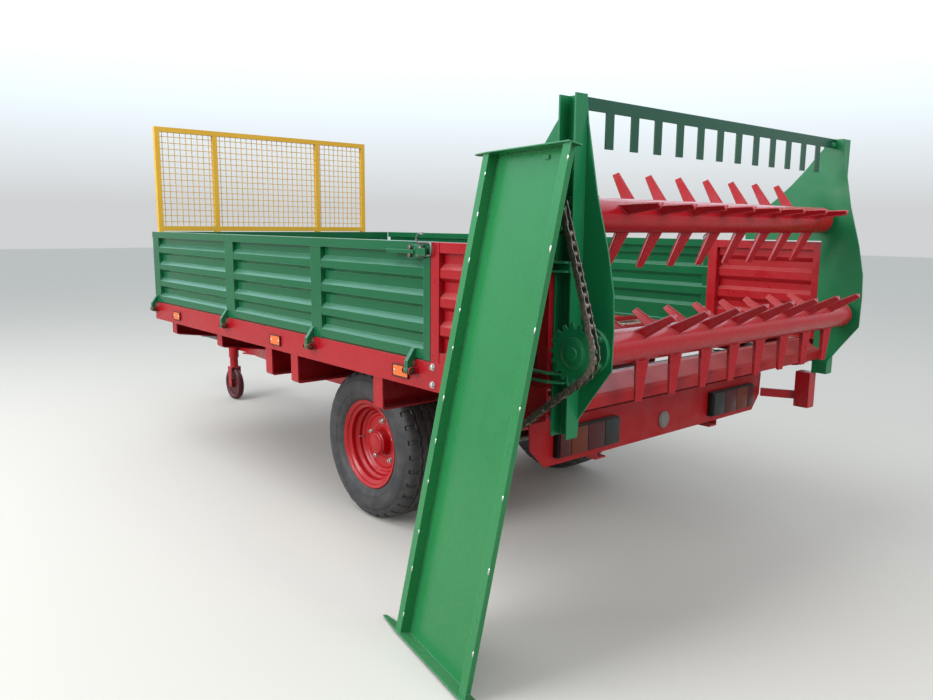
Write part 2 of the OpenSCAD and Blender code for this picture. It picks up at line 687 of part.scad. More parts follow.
// Bevel gearbox under the floor and the shafts that leave it
module gearbox() color("dimgray") place() translate([0, -cross_y, shaft_z]) {
    difference() {
        union() {
            span([-gear_half, -gear_half, -80], [gear_half, gear_half, cross_z - shaft_z + 40]);
            translate([0, 150, 0]) rotate([90, 0, 0]) cylinder(r = 50, h = 70);
        }
        x_shaft(-gear_half - 10, gear_half + 10, shaft_r + pin_gap);
        translate([0, 160, 0]) rotate([90, 0, 0]) cylinder(r = shaft_r + pin_gap, h = 150);
    }
}
module shaft_bearings() color("dimgray") place() {
    translate([0, -cross_y, shaft_z]) difference() {
        span([-half_w + 30, -40, -30], [-half_w + 64, 40, rail_z - shaft_z]);
        x_shaft(-half_w + 20, -half_w + 80, shaft_r + pin_gap);
    }
    translate([0, CROSS_TABLE[1][0], shaft_z]) difference() {
        span([-40, -16, -34], [40, 16, cross_z - shaft_z]);
        translate([0, 30, 0]) rotate([90, 0, 0]) cylinder(r = shaft_r + pin_gap, h = 60);
    }
}

input_front = 1850;
module input_shaft() color("silver") place() translate([0, 0, shaft_z]) {
    translate([0, input_front, 0]) rotate([90, 0, 0]) cylinder(r = 17.45, h = 90);
    translate([0, input_front - 80, 0]) rotate([90, 0, 0]) cylinder(r = shaft_r, h = input_front - 80 + cross_y - 60);
}

// Sprocket in Y and Z, its teeth on a pitch circle from the chain's pitch
function pitch_r(teeth) = chain_pitch / (2 * sin(180 / teeth));
module sprocket(teeth) {
    r = pitch_r(teeth);
    step = 360 / teeth;
    tip = 7;
    root = 9;
    translate([-2.5, 0, 0]) yz_sheet(5) polygon([for (i = [0 : teeth - 1])
        for (p = [[0.16, tip], [0.34, -root], [0.66, -root], [0.84, tip]])
            let (a = (i + p[0]) * step, q = r + p[1]) [q * cos(a), q * sin(a)]]);
}
module cross_shaft() color("silver") place() translate([0, -cross_y, shaft_z]) {
    x_shaft(-drive_x - 10, gear_half + 20, shaft_r);
    translate([-drive_x, 0, 0]) sprocket(teeth_drive);
    x_shaft(-drive_x - 10, -drive_x + 12, 34);
}

// Beater along X with tapered tines in three rows: each tine is folded along its middle into a V
tube_half = plate_x - 28;
module tine() {
    t = 6;
    base = tube_r - 17;
    root_w = 44;
    tip_w = 20;
    for (s = [-1, 1]) rotate([0, 0, s * 48]) translate([-t / 2, 0, 0]) yz_sheet(t)
        polygon([[-t / 2, base], [root_w, base], [tip_w, tip_r], [-t / 2, tip_r]]);
}
module beater(rows) {
    x_shaft(-tube_half, tube_half, tube_r);
    for (row = rows) for (i = [0 : tines_per_row - 1])
        translate([(i - (tines_per_row - 1) / 2) * tine_pitch + row[1], 0, 0]) rotate([row[0] - 90, 0, 0]) tine();
}
// Shaft ends in the bearings, and the sprocket with its stepped hub on the left end
module beater_shaft(teeth) {
    end_left = drive_x + 11;
    x_shaft(-end_left, -tube_half - seat_gap, shaft_r);
    x_shaft(tube_half + seat_gap, plate_x + plate_t + 30, shaft_r);
    translate([-drive_x, 0, 0]) sprocket(teeth);
    x_shaft(-end_left + 4, -drive_x + 12, 34);
}
module beater_lower() color("crimson") place() translate([0, -lower_y, lower_z]) beater(LOWER_ROWS);
module shaft_lower() color("darkgreen") place() translate([0, -lower_y, lower_z]) beater_shaft(teeth_lower);
module beater_upper() color("crimson") place() translate([0, -upper_y, upper_z]) beater(UPPER_ROWS);
module shaft_upper() color("darkgreen") place() translate([0, -upper_y, upper_z]) beater_shaft(teeth_upper);

// Drive chain: a closed path round the three sprockets: centre y, centre z, pitch radius
WHEELS = [[-lower_y, lower_z, pitch_r(teeth_lower)],
          [-cross_y, shaft_z, pitch_r(teeth_drive)],
          [-upper_y, upper_z, pitch_r(teeth_upper)]];
function dist(a, b) = norm([b[0] - a[0], b[1] - a[1]]);
// Angle of the outer normal of the straight run from wheel a to wheel b
function run_normal(a, b) = atan2(b[1] - a[1], b[0] - a[0]) - acos((a[2] - b[2]) / dist(a, b));
function run_len(a, b) = sqrt(pow(dist(a, b), 2) - pow(a[2] - b[2], 2));
function turn_from(a, b) = let (d = b - a) d < 0 ? d + 360 : d;
RUN = [for (i = [0 : 2]) let (a = WHEELS[i], b = WHEELS[(i + 1) % 3])
    [run_normal(a, b), run_len(a, b)]];
// Arc on each wheel, from the run that ends there to the run that leaves it, in degrees
ARC = [for (i = [0 : 2]) turn_from(RUN[(i + 2) % 3][0], RUN[i][0])];
SEG = [for (i = [0 : 2]) each [ARC[i] * PI / 180 * WHEELS[i][2], RUN[i][1]]];
function total(v, n) = n == 0 ? 0 : v[n - 1] + total(v, n - 1);
chain_len = total(SEG, 6);
link_count = 2 * round(chain_len / chain_pitch / 2);
// Point on the path at a length s from its start, and whether it is on a straight run
function path_at(s, k = 0) =
    s > SEG[k] && k < 5 ? path_at(s - SEG[k], k + 1) :
    let (i = floor(k / 2), w = WHEELS[i])
    k % 2 == 0
        ? let (a = RUN[(i + 2) % 3][0] + s / w[2] * 180 / PI) [w[0] + w[2] * cos(a), w[1] + w[2] * sin(a), 0]
        : let (a = RUN[i][0]) [w[0] + w[2] * cos(a) - s * sin(a), w[1] + w[2] * sin(a) + s * cos(a), 1];
module link_plate(a, b, h, x, t) {
    d = [b[0] - a[0], b[1] - a[1]];
    l = norm(d);
    over = h * 0.3;
    translate([x, a[0], a[1]]) rotate([atan2(d[1], d[0]), 0, 0]) yz_sheet(t)
        polygon([[-over, -h / 2], [l + over, -h / 2], [l + over, h / 2], [-over, h / 2]]);
}
// Room from a point on the path to the nearest sprocket's pitch circle
function room(a) = min([for (w = WHEELS) norm([a[0] - w[0], a[1] - w[1]]) - w[2]]);
module drive_chain() color("dimgray") place() translate([-drive_x, 0, 0]) {
    step = chain_len / link_count;
    // an inner link's rollers fill its middle, except where a sprocket's tooth stands in it
    tooth_room = 19;
    inner_half = 10.3;
    plate = 2.7;
    for (i = [0 : link_count - 1]) {
        a = path_at(i * step);
        b = path_at((i + 1) % link_count * step);
        if (i % 2 == 0)
            for (x = [-chain_half, chain_half - plate]) link_plate(a, b, 22, x, plate);
        else if (min(room(a), room(b)) > tooth_room)
            link_plate(a, b, 20, -inner_half, 2 * inner_half);
        else
            for (x = [-inner_half, inner_half - plate]) link_plate(a, b, 24, x, plate);
    }
}

// Shoe on the left rail that the chain's front run slides on
shoe_z = 836;
module chain_shoe() color("dimgray") place() {
    up = atan2(upper_z - shaft_z, cross_y - upper_y);
    r = pitch_r(teeth_drive);
    k = (shoe_z - shaft_z) / (upper_z - shaft_z);
    y0 = -cross_y + k * (cross_y - upper_y);
    translate([-drive_x - 10, y0, shoe_z]) rotate([up, 0, 0])
        translate([0, -60, -r - 12 - seat_gap - 26]) cube([drive_x + 10 - half_w - seat_gap, 120, 26]);
}

// Chain guard: a tray with lips along its sides and longer end plates, leaning on the left post
guard_depth = 42;
guard_lip = 36;
guard_len = (plate_top - guard_below) / cos(guard_lean);
guard_room = 7;
foot_y = box_rear - 95;
// Slopes of the tray's back along the machine and upwards, and its foot's place clear of one chain wheel
SLOPE = [sin(guard_turn) * cos(guard_lean), sin(guard_lean)] / (cos(guard_turn) * cos(guard_lean));
function foot_for(w) = -drive_x - chain_half - guard_room
    - SLOPE[0] * (w[0] - foot_y) - SLOPE[1] * w[1] - norm(SLOPE) * (w[2] + 12);
foot_x = min([for (w = WHEELS) foot_for(w)]);
// Place across the machine of the tray's back
function back_x(y, z) = foot_x + SLOPE[0] * (y - foot_y) + SLOPE[1] * z;
module guard_end(tab) linear_extrude(4)
    polygon([[0, 0], [-guard_depth - 8, 0], [-guard_depth - 8, guard_w - 20], [-guard_depth, guard_w + tab],
             [-guard_depth + 14, guard_w + tab], [0, guard_w]]);
module chain_guard() color("mediumseagreen") place() {
    t = 3;
    w = guard_w;
    // hook at the top that rests against the post
    hook_z = plate_top - guard_below - 32;
    span([back_x(post_y - 4, hook_z) - 9, post_y - 14, hook_z], [-rear_post_out - seat_gap, post_y + 6, hook_z + 12]);
    translate([foot_x, foot_y, 0]) rotate([0, 0, -guard_turn]) rotate([0, guard_lean, 0]) {
        linear_extrude(guard_len) polygon([
            [0, guard_lip - t], [0, w - guard_lip + t], [-guard_depth + t, w - guard_lip + t], [-guard_depth + t, w],
            [-guard_depth, w], [-guard_depth, w - guard_lip], [-t, w - guard_lip], [-t, guard_lip],
            [-guard_depth, guard_lip], [-guard_depth, 0], [-guard_depth + t, 0], [-guard_depth + t, guard_lip - t]]);
        guard_end(110);
        translate([0, 0, guard_len - 4]) guard_end(60);
    }
}

main_beams();
cross_members();
side_rails();
front_rail();
drawbar();
towing_eye();
jack_leg();
jockey_wheel();
axle_beam();
axle_mounts();
rim_left();
tyre_left();
rim_right();
tyre_right();
floor_plate();
conveyor();
conveyor_shafts();
ratchet_guard();
front_wall();
mesh_screen();
fixed_posts();
drop_side_left();
drop_side_right();
fixed_side_left();
fixed_side_right();
rear_plate_left();
rear_plate_right();
bearings();
crossbar();
rear_apron();
light_bar();
lamps();
feed_bracket();
reflectors();
gearbox();
shaft_bearings();
input_shaft();
cross_shaft();
beater_lower();
shaft_lower();
beater_upper();
shaft_upper();
drive_chain();
chain_shoe();
chain_guard();
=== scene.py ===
# %% [markdown]
# A small single-axle manure spreader stands parked on its jockey wheel, with the guard of its
# chain drive taken off and leaned on the left rear post. It is painted sheet steel: a red chassis,
# green ribbed sides and a yellow mesh screen. The whole could be modelled here, but its solids are
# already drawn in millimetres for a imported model. So this lesson loads them, which gives every
# shape its true place, and then dresses them: finishes, fasteners, tyres, chains and lamps.

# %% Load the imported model
import math

import bmesh
import bpy
from mathutils import Matrix, Vector


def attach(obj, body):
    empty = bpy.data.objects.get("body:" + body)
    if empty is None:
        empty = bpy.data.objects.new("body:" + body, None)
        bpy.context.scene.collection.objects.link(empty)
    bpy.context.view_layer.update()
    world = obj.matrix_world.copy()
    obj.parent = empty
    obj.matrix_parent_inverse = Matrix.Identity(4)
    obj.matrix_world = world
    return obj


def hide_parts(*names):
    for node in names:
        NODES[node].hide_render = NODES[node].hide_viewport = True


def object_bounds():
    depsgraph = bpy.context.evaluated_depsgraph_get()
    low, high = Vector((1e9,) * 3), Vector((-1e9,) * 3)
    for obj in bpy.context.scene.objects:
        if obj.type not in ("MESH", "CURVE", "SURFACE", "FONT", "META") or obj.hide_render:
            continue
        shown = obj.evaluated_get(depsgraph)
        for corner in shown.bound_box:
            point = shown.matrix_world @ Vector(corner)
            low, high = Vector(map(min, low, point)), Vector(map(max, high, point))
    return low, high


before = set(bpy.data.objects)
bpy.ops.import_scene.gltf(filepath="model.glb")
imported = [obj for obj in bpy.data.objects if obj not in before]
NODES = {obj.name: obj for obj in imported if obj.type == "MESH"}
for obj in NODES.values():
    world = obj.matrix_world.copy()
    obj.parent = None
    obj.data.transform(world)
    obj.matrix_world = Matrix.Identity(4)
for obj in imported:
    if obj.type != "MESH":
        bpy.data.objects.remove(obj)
CAD_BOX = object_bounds()
MM = 0.001
print("the machine's box in metres:", CAD_BOX)

# %% [markdown]
# The camera stands where the photographer stood, behind the left rear corner at about the height
# of the box. It could be turned with a look-at constraint, but a photograph also shows how far the
# camera leaned. So the direction is built from three angles, turn, tilt and roll, which can be read
# off the horizon and the upright edges.

# %% Camera at the photographer's place
CAMERA_AT = Vector((-2.76, -6.648, 0.976))
CAMERA_TURN = math.radians(-41.0)
CAMERA_TILT = math.radians(-9.1)
CAMERA_ROLL = math.radians(0.55)
PHOTO_WIDTH = 933
FOCAL_PIXELS = 783.7
SENSOR_MM = 36


def put_in_scene(name, data):
    made = bpy.data.objects.new(name, data)
    bpy.context.scene.collection.objects.link(made)
    return made


def as_axes(x_axis, y_axis, z_axis):
    return Matrix((x_axis, y_axis, z_axis)).transposed().to_4x4()


def add_camera():
    level = Vector((math.cos(CAMERA_TURN), math.sin(CAMERA_TURN), 0))
    ahead = Vector((-math.sin(CAMERA_TURN), math.cos(CAMERA_TURN), 0))
    forward = ahead * math.cos(CAMERA_TILT) + Vector((0, 0, math.sin(CAMERA_TILT)))
    upright = level.cross(forward)
    right = level * math.cos(CAMERA_ROLL) + upright * math.sin(CAMERA_ROLL)
    up = upright * math.cos(CAMERA_ROLL) - level * math.sin(CAMERA_ROLL)
    data = bpy.data.cameras.new("camera")
    data.sensor_width = SENSOR_MM
    data.lens = FOCAL_PIXELS / PHOTO_WIDTH * SENSOR_MM
    camera = put_in_scene("camera", data)
    camera.matrix_world = Matrix.Translation(CAMERA_AT) @ as_axes(right, up, -forward)
    bpy.context.scene.camera = camera
    return camera


camera = add_camera()
print("lens in millimetres:", round(camera.data.lens, 2))

# %% [markdown]
# Materials are graphs of nodes. They could be wired one line at a time, but that hides the idea
# behind the wiring. So one small function adds a node with its settings and its links, and each
# finish below reads as a list of layers. Colours are the hex values that a colour picker shows, and
# they are turned into the linear numbers that the renderer mixes.

# %% Colour and node helpers


def linear(hex_code):
    channels = [int(hex_code[i : i + 2], 16) / 255 for i in (1, 3, 5)]
    light = [c / 12.92 if c <= 0.04045 else ((c + 0.055) / 1.055) ** 2.4 for c in channels]
    return (*light, 1.0)


def add(tree, kind, inputs=None, **settings):
    node = tree.nodes.new(kind)
    for name, value in settings.items():
        setattr(node, name, value)
    for socket, value in (inputs or {}).items():
        if isinstance(value, bpy.types.NodeSocket):
            tree.links.new(value, node.inputs[socket])
        else:
            node.inputs[socket].default_value = value
    return node


def plus(tree, first, second, **settings):
    return add(tree, "ShaderNodeMath", {0: first, 1: second}, **settings).outputs[0]


def blend(tree, share, first, second):
    colours = {0: share, 6: first, 7: second}
    return add(tree, "ShaderNodeMix", colours, data_type="RGBA").outputs[2]


def new_material(name):
    material = bpy.data.materials.new(name)
    material.use_nodes = True
    tree = material.node_tree
    tree.nodes.clear()
    return material, tree


def finish_with(tree, inputs):
    shader = add(tree, "ShaderNodeBsdfPrincipled", inputs)
    add(tree, "ShaderNodeOutputMaterial", {"Surface": shader.outputs[0]})


print("pure green in linear light:", [round(c, 3) for c in linear("#207a48")])

# %% [markdown]
# The floor is plain and pale, and the light is that of a studio with a bright ceiling. One sky for
# everything would light the undersides of the paint too much. So there are two: what the camera and
# reflections see is pale at the horizon and brighter overhead, and what lights the paint is weaker
# and comes mostly from above. The Light Path node tells the rays apart, for the floor as well.

# %% Floor, world and lamps
GROUND_Z = CAD_BOX[0][2]
FLOOR_HALF = 40.0
FLOOR_MIDDLE_Y = -3
FLOOR_SEEN_HEX = "#cbc9c4"
FLOOR_LIGHT_HEX = "#827f7a"
# where the climb starts and ends, the strength and the colour at both: as seen, then as light
SKIES = [
    (0.02, 0.42, 0.9, 2.5, "#dadcdd", "#c6e4f6"),
    (-0.05, 0.8, 0.5, 0.9, "#f0efec", "#f0f3f6"),
]
# name, place, point it looks at, side in metres, watts
LAMPS = [
    ("ceiling", (-3.0, -1.8, 6.5), (0.0, -3.2, 0.4), 6.0, 300),
    ("window", (-8.0, -2.2, 3.2), (0.0, -3.5, 0.2), 4.0, 400),
    ("fill", (-1.5, -12.0, 3.4), (0.0, -4.6, 0.8), 4.5, 260),
]


def looked_at(tree):
    rays = add(tree, "ShaderNodeLightPath").outputs
    seen = plus(tree, rays["Is Camera Ray"], rays["Is Glossy Ray"])
    return plus(tree, seen, rays["Is Transmission Ray"], use_clamp=True)


def add_floor():
    bm = bmesh.new()
    bmesh.ops.create_grid(bm, x_segments=1, y_segments=1, size=FLOOR_HALF)
    bmesh.ops.translate(bm, verts=bm.verts, vec=(0, FLOOR_MIDDLE_Y, GROUND_Z))
    mesh = bpy.data.meshes.new("floor")
    bm.to_mesh(mesh)
    bm.free()
    material, tree = new_material("pale_studio_floor")
    colour = blend(tree, looked_at(tree), linear(FLOOR_LIGHT_HEX), linear(FLOOR_SEEN_HEX))
    finish_with(tree, {"Base Color": colour, "Roughness": 0.85})
    mesh.materials.append(material)
    floor = put_in_scene("floor", mesh)


def add_sky(tree, up, low, high, dim, bright, low_hex, high_hex):
    climb = {"Value": up, "From Min": low, "From Max": high, "To Min": 0.0, "To Max": 1.0}
    height = add(tree, "ShaderNodeMapRange", climb).outputs[0]
    brightness = {"Value": height, "To Min": dim, "To Max": bright}
    strength = add(tree, "ShaderNodeMapRange", brightness).outputs[0]
    colour = blend(tree, height, linear(low_hex), linear(high_hex))
    return add(tree, "ShaderNodeBackground", {"Color": colour, "Strength": strength}).outputs[0]


def add_world():
    world = bpy.data.worlds.new("studio")
    world.use_nodes = True
    bpy.context.scene.world = world
    tree = world.node_tree
    tree.nodes.clear()
    direction = add(tree, "ShaderNodeTexCoord").outputs["Generated"]
    up = add(tree, "ShaderNodeSeparateXYZ", {0: direction}).outputs["Z"]
    as_seen, as_light = [add_sky(tree, up, *row) for row in SKIES]
    mix = add(tree, "ShaderNodeMixShader", {0: looked_at(tree), 1: as_light, 2: as_seen})
    add(tree, "ShaderNodeOutputWorld", {"Surface": mix.outputs[0]})


def add_lamp(name, place, target, side, watts):
    data = bpy.data.lights.new(name, "AREA")
    data.shape = "SQUARE"
    data.size = side
    data.energy = watts
    lamp = put_in_scene(name, data)
    lamp.location = place
    lamp.rotation_euler = (Vector(target) - Vector(place)).to_track_quat("-Z", "Y").to_euler()


add_floor()
add_world()
for row in LAMPS:
    add_lamp(*row)
bpy.context.scene.view_settings.view_transform = "Standard"
print("floor at", GROUND_Z, "and", len(LAMPS), "lamps")

# %% [markdown]
# Almost everything is sprayed alkyd enamel on sheet steel: glossy, a little uneven in colour, with
# the fine skin that painters call orange peel and the slow waves of thin sheet. What faces up is
# painted paler: partly a film of dust, partly a painted reflection of the sky. A painted texture
# could show all that, but only noise in the object's own space needs no unwrapping. The Bevel node
# rounds sharp edges for the light, and where the round and the flat normal differ there is an edge,
# painted paler as a highlight, with small chips.

# %% Enamel on steel
PEEL_MM = 5  # real orange peel is about 2 mm, drawn coarser so that it shows
WAVE_MM = 260
BLOTCH_MM = 380
DIRT_MM = 70
CHIP_MM = 22
EDGE_MM = 2.5
PAINT_IOR = 1.37
COAT_ROUGHNESS = 0.1
# the cosine between the two normals where an edge begins to show, and where it shows in full
EDGE_BEGINS, EDGE_FULL = 0.97, 0.75
# how much of the painted highlight colour a full edge takes
EDGE_HIGHLIGHT_SHARE = 0.6
CHIPS_BEGIN, CHIPS_FULL = 0.52, 0.68
PEEL_STRENGTH, PEEL_HEIGHT_MM = 0.06, 0.3
WAVE_HEIGHT_MM = 4
# how much of its roughness a finish has at its smoothest and at its dullest places
SMOOTHEST, DULLEST = 0.8, 1.35
# the values of a noise are mostly between these two
NOISE_LOW, NOISE_HIGH = 0.3, 0.7


def noise(tree, place, size_mm, detail):
    inputs = {"Vector": place, "Scale": 1000 / size_mm, "Detail": detail}
    return add(tree, "ShaderNodeTexNoise", inputs).outputs["Fac"]


def spread(tree, value, low, high, start, end):
    ranges = {"Value": value, "From Min": low, "From Max": high, "To Min": start, "To Max": end}
    return add(tree, "ShaderNodeMapRange", ranges).outputs[0]


def times(tree, first, second):
    return plus(tree, first, second, operation="MULTIPLY")


def bump(tree, height, strength, distance_mm, normal=None):
    inputs = {"Height": height, "Strength": strength, "Distance": distance_mm * MM}
    if normal is not None:
        inputs["Normal"] = normal
    return add(tree, "ShaderNodeBump", inputs).outputs[0]


def edge_mark(tree, bevel, flat):
    inputs = {0: bevel, 1: flat}
    cosine = add(tree, "ShaderNodeVectorMath", inputs, operation="DOT_PRODUCT").outputs["Value"]
    return spread(tree, cosine, EDGE_BEGINS, EDGE_FULL, 0.0, 1.0)


# what faces up is painted paler: partly a film of dust, partly a painted reflection of the sky
def dust_and_sheen_film(tree, flat, dirt, dust_and_sheen):
    upwards = add(tree, "ShaderNodeSeparateXYZ", {0: flat}).outputs["Z"]
    lying = spread(tree, upwards, 0.3, 1.0, 0.0, dust_and_sheen)
    return times(tree, lying, spread(tree, dirt, NOISE_LOW, NOISE_HIGH, 0.85, 1.0))


def enamel(
    name, hex_code, light_hex, roughness=0.26, edge_highlight_hex=None, dust_and_sheen=0.22, dust_and_sheen_hex="#a8b0a6",
    wear=0.06, wear_hex="#6c625a", wave=0.22, coat=0.0,
):
    material, tree = new_material(name)
    place = add(tree, "ShaderNodeTexCoord").outputs["Object"]
    flat = add(tree, "ShaderNodeNewGeometry").outputs["Normal"]
    bevel = add(tree, "ShaderNodeBevel", {"Radius": EDGE_MM * MM}, samples=4).outputs[0]
    edge = edge_mark(tree, bevel, flat)
    dirt = noise(tree, place, DIRT_MM, 6.0)
    colour = blend(tree, noise(tree, place, BLOTCH_MM, 4.0), linear(hex_code), linear(light_hex))
    # edges are painted towards a pale colour: a painted highlight
    if edge_highlight_hex:
        colour = blend(tree, times(tree, edge, EDGE_HIGHLIGHT_SHARE), colour, linear(edge_highlight_hex))
    chips = spread(tree, noise(tree, place, CHIP_MM, 5.0), CHIPS_BEGIN, CHIPS_FULL, 0.0, wear)
    paint = blend(tree, times(tree, edge, chips), colour, linear(wear_hex))
    skin = blend(tree, dust_and_sheen_film(tree, flat, dirt, dust_and_sheen), paint, linear(dust_and_sheen_hex))
    rough = spread(tree, dirt, NOISE_LOW, NOISE_HIGH, roughness * SMOOTHEST, roughness * DULLEST)
    slow = bump(tree, noise(tree, place, WAVE_MM, 1.0), wave, WAVE_HEIGHT_MM, bevel)
    fine = bump(tree, noise(tree, place, PEEL_MM, 2.0), PEEL_STRENGTH, PEEL_HEIGHT_MM, slow)
    layers = {"Base Color": skin, "Roughness": rough, "Normal": fine, "IOR": PAINT_IOR}
    finish_with(tree, {**layers, "Coat Weight": coat, "Coat Roughness": COAT_ROUGHNESS})
    return material


# pale colours painted on edges as highlights
MINT_HIGHLIGHT = "#9fd0c2"
PINK_HIGHLIGHT = "#d98d90"
# name, darker and lighter tone, roughness, then the colour painted on edges as a highlight,
# and what differs in the layers
red_enamel = enamel(
    "red_alkyd_enamel", "#a0111c", "#ae1721", 0.3, "#c4565a", dust_and_sheen_hex="#b79a96"
)
# a darker copy of the chassis red for the rear-facing apron and light bar: painted shade
rear_shaded_enamel = enamel(
    "red_rear_shaded_enamel", "#980811", "#a20c15", 0.46, "#c8484d", dust_and_sheen_hex="#b7a09c"
)
rim_enamel = enamel(
    "red_rim_enamel", "#ac0611", "#b60c16", 0.19, dust_and_sheen=0.03, wave=0.05, coat=0.1
)
dark_red_enamel = enamel("dark_red_wheel_enamel", "#480e16", "#541119", 0.4, dust_and_sheen=0.1)
beater_enamel = enamel(
    "red_beater_enamel", "#a5131f", "#b21c27", 0.26, PINK_HIGHLIGHT, dust_and_sheen=0.3, dust_and_sheen_hex="#c9a5a4"
)
conveyor_enamel = enamel("red_slat_enamel", "#a01a25", "#b3282e", 0.4, wear=0.6)
# on the green the pale film is mint: a painted sky reflection on the upward slopes of the ribs
green_enamel = enamel(
    "green_alkyd_enamel", "#125c38", "#176840", 0.2, MINT_HIGHLIGHT, dust_and_sheen_hex="#a9d0c8", wave=0.08
)
plate_enamel = enamel("deep_green_plate_enamel", "#157044", "#1a7a4a", 0.34, "#5f9f86")
guard_enamel = enamel("green_guard_enamel", "#247743", "#2b844a", 0.26, MINT_HIGHLIGHT, dust_and_sheen=0.1)
bar_enamel = enamel("dark_green_bar_enamel", "#0c452f", "#104f37", 0.26, "#47826c")
yellow_enamel = enamel(
    "yellow_mesh_enamel", "#dba92c", "#e8bb42", 0.4, wear_hex="#7b5a28", wave=0.1
)
floor_enamel = enamel("worn_red_floor_enamel", "#7c1d1e", "#96302a", 0.5, dust_and_sheen=0.5, wear=0.7)
print("painted finishes:", len(bpy.data.materials) - 1)

# %% [markdown]
# The lamps and reflectors are moulded plastic, coloured all through. Clear plastic could be made
# with transmission, but lamps that are off look dark and closed from outside. So the layers of the
# enamel serve again, without wear and without the waves of thin sheet.

# %% Moulded plastics


def plastic(name, hex_code, light_hex, roughness, dust_and_sheen=0.22):
    return enamel(name, hex_code, light_hex, roughness, dust_and_sheen=dust_and_sheen, wear=0.0, wave=0.0)


lamp_shell = plastic("black_lamp_plastic", "#0e0f10", "#141516", 0.5, dust_and_sheen=0.15)
lens_red = plastic("red_lamp_plastic", "#3d080b", "#480b0e", 0.4)
lens_amber = plastic("amber_lamp_plastic", "#5a210d", "#652810", 0.4)
lens_clear = plastic("clear_lamp_plastic", "#1c201e", "#252927", 0.4)
grey_plastic = plastic("grey_reflector_plastic", "#6f6a68", "#7d7876", 0.3)
orange_plastic = plastic("orange_reflector_plastic", "#f0682a", "#f57a36", 0.2)
print("painted and moulded finishes:", len(bpy.data.materials) - 1)

# %% [markdown]
# Bare steel parts are turned or sawn and then oiled. They could be plain metal of one roughness,
# but oil and rust are patchy. So one noise changes the colour, the roughness and the relief at the
# same places, as a stain does on the real metal.

# %% Bare steel and chain steel
STAIN_BEGINS, STAIN_FULL = 0.4, 0.65
GRAIN_STRENGTH, GRAIN_HEIGHT_MM = 0.3, 0.4
STEEL_DULLEST = 1.4


def oiled_steel(name, hex_code, stain_hex, roughness, stain=0.5, grain_mm=14):
    material, tree = new_material(name)
    place = add(tree, "ShaderNodeTexCoord").outputs["Object"]
    grain = noise(tree, place, grain_mm, 6.0)
    stained = spread(tree, grain, STAIN_BEGINS, STAIN_FULL, 0.0, stain)
    colour = blend(tree, stained, linear(hex_code), linear(stain_hex))
    dullest = roughness * STEEL_DULLEST
    rough = spread(tree, grain, NOISE_LOW, NOISE_HIGH, roughness * SMOOTHEST, dullest)
    relief = bump(tree, grain, GRAIN_STRENGTH, GRAIN_HEIGHT_MM)
    layers = {"Base Color": colour, "Roughness": rough, "Normal": relief, "Metallic": 0.9}
    finish_with(tree, layers)
    return material


bare_steel = oiled_steel("sawn_bare_steel", "#77736e", "#4d443c", 0.38)
zinc_steel = oiled_steel("zinc_plated_bolt_steel", "#c4c4c0", "#94938c", 0.26, stain=0.3)
rusty_steel = oiled_steel("rusty_bolt_steel", "#5a4334", "#3a2418", 0.55, 0.9, 6)
latch_steel = oiled_steel("greased_latch_steel", "#6d6a66", "#4a3f38", 0.35, 0.5, 8)
chain_steel = oiled_steel("oiled_chain_steel", "#94847a", "#4d3c30", 0.42, 0.8, 9)
print("steels:", len([m for m in bpy.data.materials if m.name.endswith("steel")]))

# %% [markdown]
# Tyre rubber is black with carbon and greys with road dust, most of all in the ring next to the
# rim. That ring could be a mesh of its own, but dust has no edge. So it is found by the distance
# from the axle's line, which is worked out from the place with three vector nodes.

# %% Rubber
AXLE_LINE = (0.0, -3.6, -0.068)
ACROSS_AXLE = (0.0, 1.0, 1.0)
DUST_PATCH_MM = 60
PORE_MM = 4
# radius where the dust starts and ends in metres, and how much of it there is at both
BEAD_DUST = (0.212, 0.226, 0.75, 0.0)
CROWN_DUST = (0.33, 0.358, 0.0, 0.12)


def tyre_rubber():
    material, tree = new_material("carbon_black_tyre_rubber")
    place = add(tree, "ShaderNodeTexCoord").outputs["Object"]
    scale = 1000 / DUST_PATCH_MM
    patches = {"Vector": place, "Scale": scale, "Detail": 8.0, "Roughness": 0.65}
    dirt = add(tree, "ShaderNodeTexNoise", patches).outputs["Fac"]
    value = place
    for operand, operation in ((AXLE_LINE, "SUBTRACT"), (ACROSS_AXLE, "MULTIPLY")):
        inputs = {0: value, 1: operand}
        value = add(tree, "ShaderNodeVectorMath", inputs, operation=operation).outputs[0]
    radius = add(tree, "ShaderNodeVectorMath", {0: value}, operation="LENGTH").outputs["Value"]
    rings = plus(tree, spread(tree, radius, *BEAD_DUST), spread(tree, radius, *CROWN_DUST))
    patchy = spread(tree, dirt, 0.42, 0.72, 0.05, 0.6)
    dusty = plus(tree, rings, patchy, use_clamp=True)
    colour = blend(tree, dusty, linear("#232428"), linear("#5a554f"))
    pores = bump(tree, noise(tree, place, PORE_MM, 3.0), 0.2, 0.5)
    finish_with(tree, {"Base Color": colour, "Roughness": 0.62, "Normal": pores})
    return material


rubber = tyre_rubber()
print("the axle's line in metres:", AXLE_LINE)

# %% [markdown]
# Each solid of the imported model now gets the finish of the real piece. A loop over the solids with
# one table is used, because a table can be checked against the machine at a glance.

